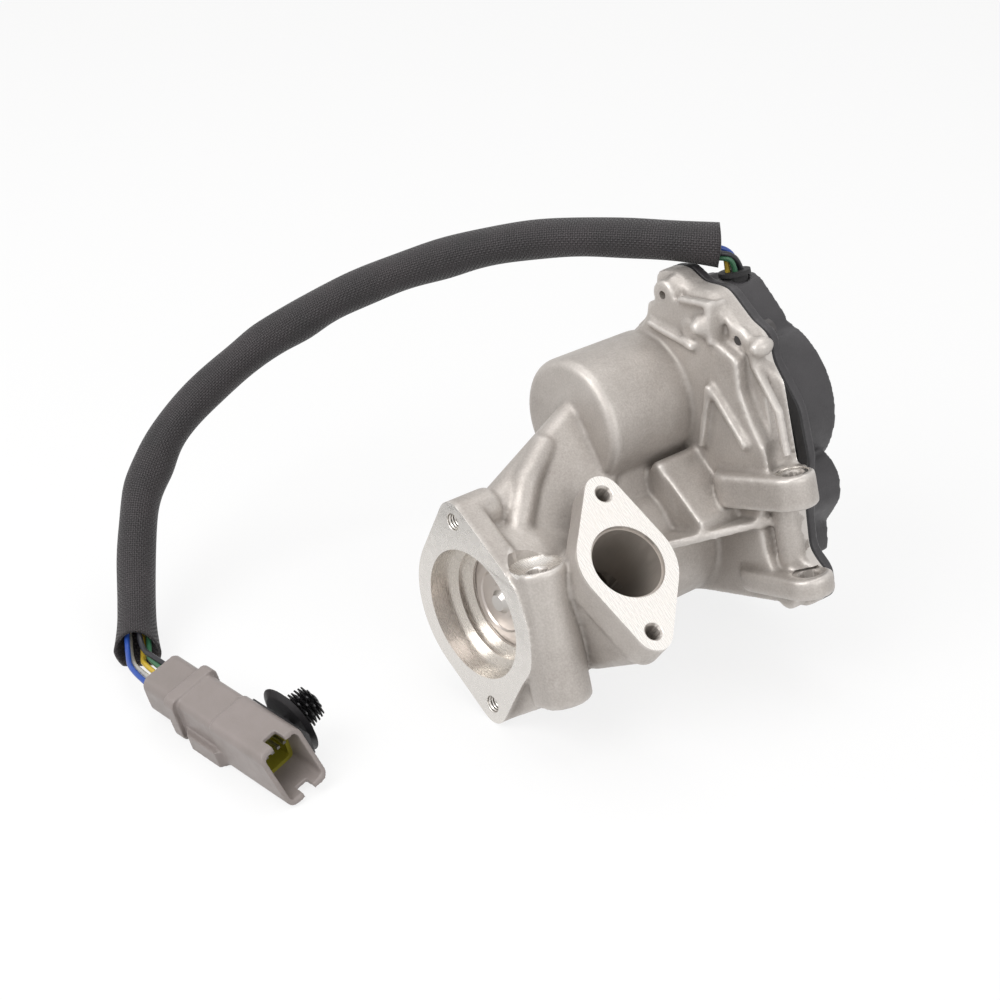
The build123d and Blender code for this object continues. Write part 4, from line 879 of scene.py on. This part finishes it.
def clip_group():
    """Geometry Nodes: barbed fins along a stem, over a flange and a base plate."""
    tree = bpy.data.node_groups.new("push_clip", "GeometryNodeTree")
    sockets = tree.interface
    sockets.new_socket("Geometry", in_out="OUTPUT", socket_type="NodeSocketGeometry")
    sockets.new_socket("Fins", in_out="INPUT", socket_type="NodeSocketInt")
    for name in ("Pitch", "Fin radius", "Flange radius"):
        sockets.new_socket(name, in_out="INPUT", socket_type="NodeSocketFloat")
    sockets.new_socket("Finish", in_out="INPUT", socket_type="NodeSocketMaterial")
    nodes, link = tree.nodes, tree.links.new
    given, result = nodes.new("NodeGroupInput"), nodes.new("NodeGroupOutput")

    def moved(geometry, height):
        shift = nodes.new("GeometryNodeTransform")
        link(geometry, shift.inputs["Geometry"])
        shift.inputs["Translation"].default_value = (0, 0, height)
        return shift.outputs[0]

    def taper(sides, top, bottom, depth):
        cone = nodes.new("GeometryNodeMeshCone")
        cone.inputs["Vertices"].default_value = sides
        for socket, value in (("Radius Top", top), ("Radius Bottom", bottom), ("Depth", depth)):
            if isinstance(value, float):
                cone.inputs[socket].default_value = value
            else:
                link(value, cone.inputs[socket])
        return cone.outputs["Mesh"]

    line = nodes.new("GeometryNodeMeshLine")
    link(given.outputs["Fins"], line.inputs["Count"])
    line.inputs["Start Location"].default_value = (0, 0, 5.4 * MM)
    step = nodes.new("ShaderNodeCombineXYZ")
    link(given.outputs["Pitch"], step.inputs["Z"])
    link(step.outputs[0], line.inputs["Offset"])
    # A fin is a ring of barbs, wide at its foot
    fin = nodes.new("GeometryNodeJoinGeometry")
    barb = nodes.new("GeometryNodeMeshCone")
    barb.inputs["Vertices"].default_value = 5
    barb.inputs["Radius Bottom"].default_value = 1.8 * MM
    barb.inputs["Radius Top"].default_value = 0.7 * MM
    link(given.outputs["Fin radius"], barb.inputs["Depth"])
    lean = nodes.new("GeometryNodeTransform")
    link(barb.outputs["Mesh"], lean.inputs["Geometry"])
    lean.inputs["Rotation"].default_value = (0, BARB_LEAN, 0)
    lean.inputs["Scale"].default_value = (0.5, 1, 1)
    ring = nodes.new("GeometryNodeMeshCircle")
    ring.inputs["Vertices"].default_value = BARB_COUNT
    ring.inputs["Radius"].default_value = 0.4 * MM
    outward = nodes.new("GeometryNodeInputPosition")
    face_out = nodes.new("FunctionNodeAlignRotationToVector")
    face_out.axis = "X"
    link(outward.outputs[0], face_out.inputs["Vector"])
    spokes = nodes.new("GeometryNodeInstanceOnPoints")
    link(ring.outputs["Mesh"], spokes.inputs["Points"])
    link(lean.outputs[0], spokes.inputs["Instance"])
    link(face_out.outputs[0], spokes.inputs["Rotation"])
    link(spokes.outputs[0], fin.inputs[0])
    link(taper(20, 2.6 * MM, 3.9 * MM, 0.8 * MM), fin.inputs[0])
    index = nodes.new("GeometryNodeInputIndex")
    turn = nodes.new("ShaderNodeMath")
    turn.operation = "MULTIPLY"
    turn.inputs[1].default_value = FIN_TURN
    link(index.outputs[0], turn.inputs[0])
    spin = nodes.new("ShaderNodeCombineXYZ")
    link(turn.outputs[0], spin.inputs["Z"])
    shrink = nodes.new("ShaderNodeMath")
    shrink.operation = "MULTIPLY_ADD"
    shrink.inputs[1].default_value = FIN_SHRINK
    shrink.inputs[2].default_value = 1.0
    link(index.outputs[0], shrink.inputs[0])
    fins = nodes.new("GeometryNodeInstanceOnPoints")
    link(line.outputs[0], fins.inputs["Points"])
    link(fin.outputs[0], fins.inputs["Instance"])
    link(spin.outputs[0], fins.inputs["Rotation"])
    link(shrink.outputs[0], fins.inputs["Scale"])
    plate = nodes.new("GeometryNodeMeshCube")
    plate.inputs["Size"].default_value = (27 * MM, 9 * MM, 1.8 * MM)
    whole = nodes.new("GeometryNodeJoinGeometry")
    for geometry in (
        fins.outputs[0],
        moved(taper(24, 1.6 * MM, 2.4 * MM, 14.6 * MM), 0),
        moved(taper(48, given.outputs["Flange radius"], 10.0 * MM, 1.3 * MM), 3.4 * MM),
        moved(plate.outputs["Mesh"], 0.9 * MM),
    ):
        link(geometry, whole.inputs[0])
    real = nodes.new("GeometryNodeRealizeInstances")
    link(whole.outputs[0], real.inputs[0])
    paint = nodes.new("GeometryNodeSetMaterial")
    link(real.outputs[0], paint.inputs["Geometry"])
    link(given.outputs["Finish"], paint.inputs["Material"])
    link(paint.outputs[0], result.inputs[0])
    return tree


def build_clip():
    """The push clip, standing on the connector's side."""
    piece = solid_object("push_clip", bmesh.new())
    tree = clip_group()
    change = piece.modifiers.new("clip", "NODES")
    change.node_group = tree
    for item in tree.interface.items_tree:
        if item.in_out == "INPUT":
            change[item.identifier] = CLIP_SIZES[item.name]
    settle(piece)
    side = CONNECTOR @ Matrix.Translation(CLIP_PLACE) @ Matrix.Rotation(radians(-90), 4, "X")
    piece.data.transform(side)
    return piece


clip = build_clip()

# ---------------------------------------------------------------- stage


def seen_directly(nodes, links, rays):
    """1 for a ray from the camera, or one that a mirror or a clear body sends on."""
    total = rays.outputs["Is Camera Ray"]
    for name in ("Is Glossy Ray", "Is Transmission Ray"):
        add = nodes.new("ShaderNodeMath")
        add.operation = "MAXIMUM"
        links.new(total, add.inputs[0])
        links.new(rays.outputs[name], add.inputs[1])
        total = add.outputs[0]
    return total


def shadow_catcher():
    """Pale table that reads as white and keeps the soft shadow."""
    material = bpy.data.materials.new("table")
    material.use_nodes = True
    nodes, links = material.node_tree.nodes, material.node_tree.links
    shader = nodes["Principled BSDF"]
    shader.inputs["Base Color"].default_value = (0.86, 0.86, 0.86, 1)
    shader.inputs["Roughness"].default_value = 0.7
    glow = nodes.new("ShaderNodeEmission")
    glow.inputs["Color"].default_value = (1, 1, 1, 1)
    rays = nodes.new("ShaderNodeLightPath")
    share = nodes.new("ShaderNodeMath")
    share.operation = "MULTIPLY"
    share.inputs[1].default_value = 0.8
    links.new(seen_directly(nodes, links, rays), share.inputs[0])
    mix = nodes.new("ShaderNodeMixShader")
    links.new(share.outputs[0], mix.inputs[0])
    links.new(shader.outputs[0], mix.inputs[1])
    links.new(glow.outputs[0], mix.inputs[2])
    links.new(mix.outputs[0], nodes["Material Output"].inputs["Surface"])
    return material


def make_table():
    reach = 6.0
    data = bpy.data.meshes.new("table")
    corners = [(-reach, -reach), (reach, -reach), (reach, reach), (-reach, reach)]
    data.from_pydata([(x, y, TABLE_Z) for x, y in corners], [], [(0, 1, 2, 3)])
    data.materials.append(shadow_catcher())
    table = bpy.data.objects.new("table", data)
    bpy.context.scene.collection.objects.link(table)


def make_world():
    world = bpy.data.worlds.new("studio")
    bpy.context.scene.world = world
    world.use_nodes = True
    nodes, links = world.node_tree.nodes, world.node_tree.links
    room = nodes["Background"]
    room.inputs["Color"].default_value = (1.0, 0.99, 0.98, 1)
    room.inputs["Strength"].default_value = 0.5
    backdrop = nodes.new("ShaderNodeBackground")
    backdrop.inputs["Color"].default_value = (1, 1, 1, 1)
    backdrop.inputs["Strength"].default_value = 1.0
    rays = nodes.new("ShaderNodeLightPath")
    mix = nodes.new("ShaderNodeMixShader")
    links.new(seen_directly(nodes, links, rays), mix.inputs[0])
    links.new(room.outputs[0], mix.inputs[1])
    links.new(backdrop.outputs[0], mix.inputs[2])
    links.new(mix.outputs[0], nodes["World Output"].inputs["Surface"])


def softbox(name, place, power, width, height):
    """A soft lamp that faces the valve."""
    data = bpy.data.lights.new(name, "AREA")
    data.shape = "RECTANGLE"
    data.size = width
    data.size_y = height
    data.energy = power
    lamp = bpy.data.objects.new(name, data)
    target = Vector((0.03, 0.03, 0.02))
    aim = (target - Vector(place)).to_track_quat("-Z", "Y")
    lamp.matrix_world = Matrix.Translation(place) @ aim.to_matrix().to_4x4()
    bpy.context.scene.collection.objects.link(lamp)


make_table()
make_world()
softbox("key_lamp", (-0.75, 0.05, 0.75), 7.0, 0.7, 0.7)
softbox("fill_lamp", (0.1, -1.0, 0.5), 3.0, 0.8, 0.5)
softbox("top_lamp", (0.2, 0.2, 1.1), 4.0, 0.8, 0.8)

# ---------------------------------------------------------------- what moves and what stands for what

bpy.context.scene.view_settings.view_transform = "Standard"
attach(casting, "body")
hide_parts("valve_housing")
for piece, node, slot in (
    (moulded_cover, "gear_cover", "cover_plastic"),
    (moulded_socket, "connector_housing", "connector_plastic"),
    (moulded_cap, "connector_cap", "connector_plastic"),
    (clip, "fixing_clip", "clip_plastic"),
):
    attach(piece, "body")
    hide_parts(node)
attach(woven, "body")
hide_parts("lead_sleeve")
for wire in wires:
    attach(wire, "body")
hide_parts("lead_wires")
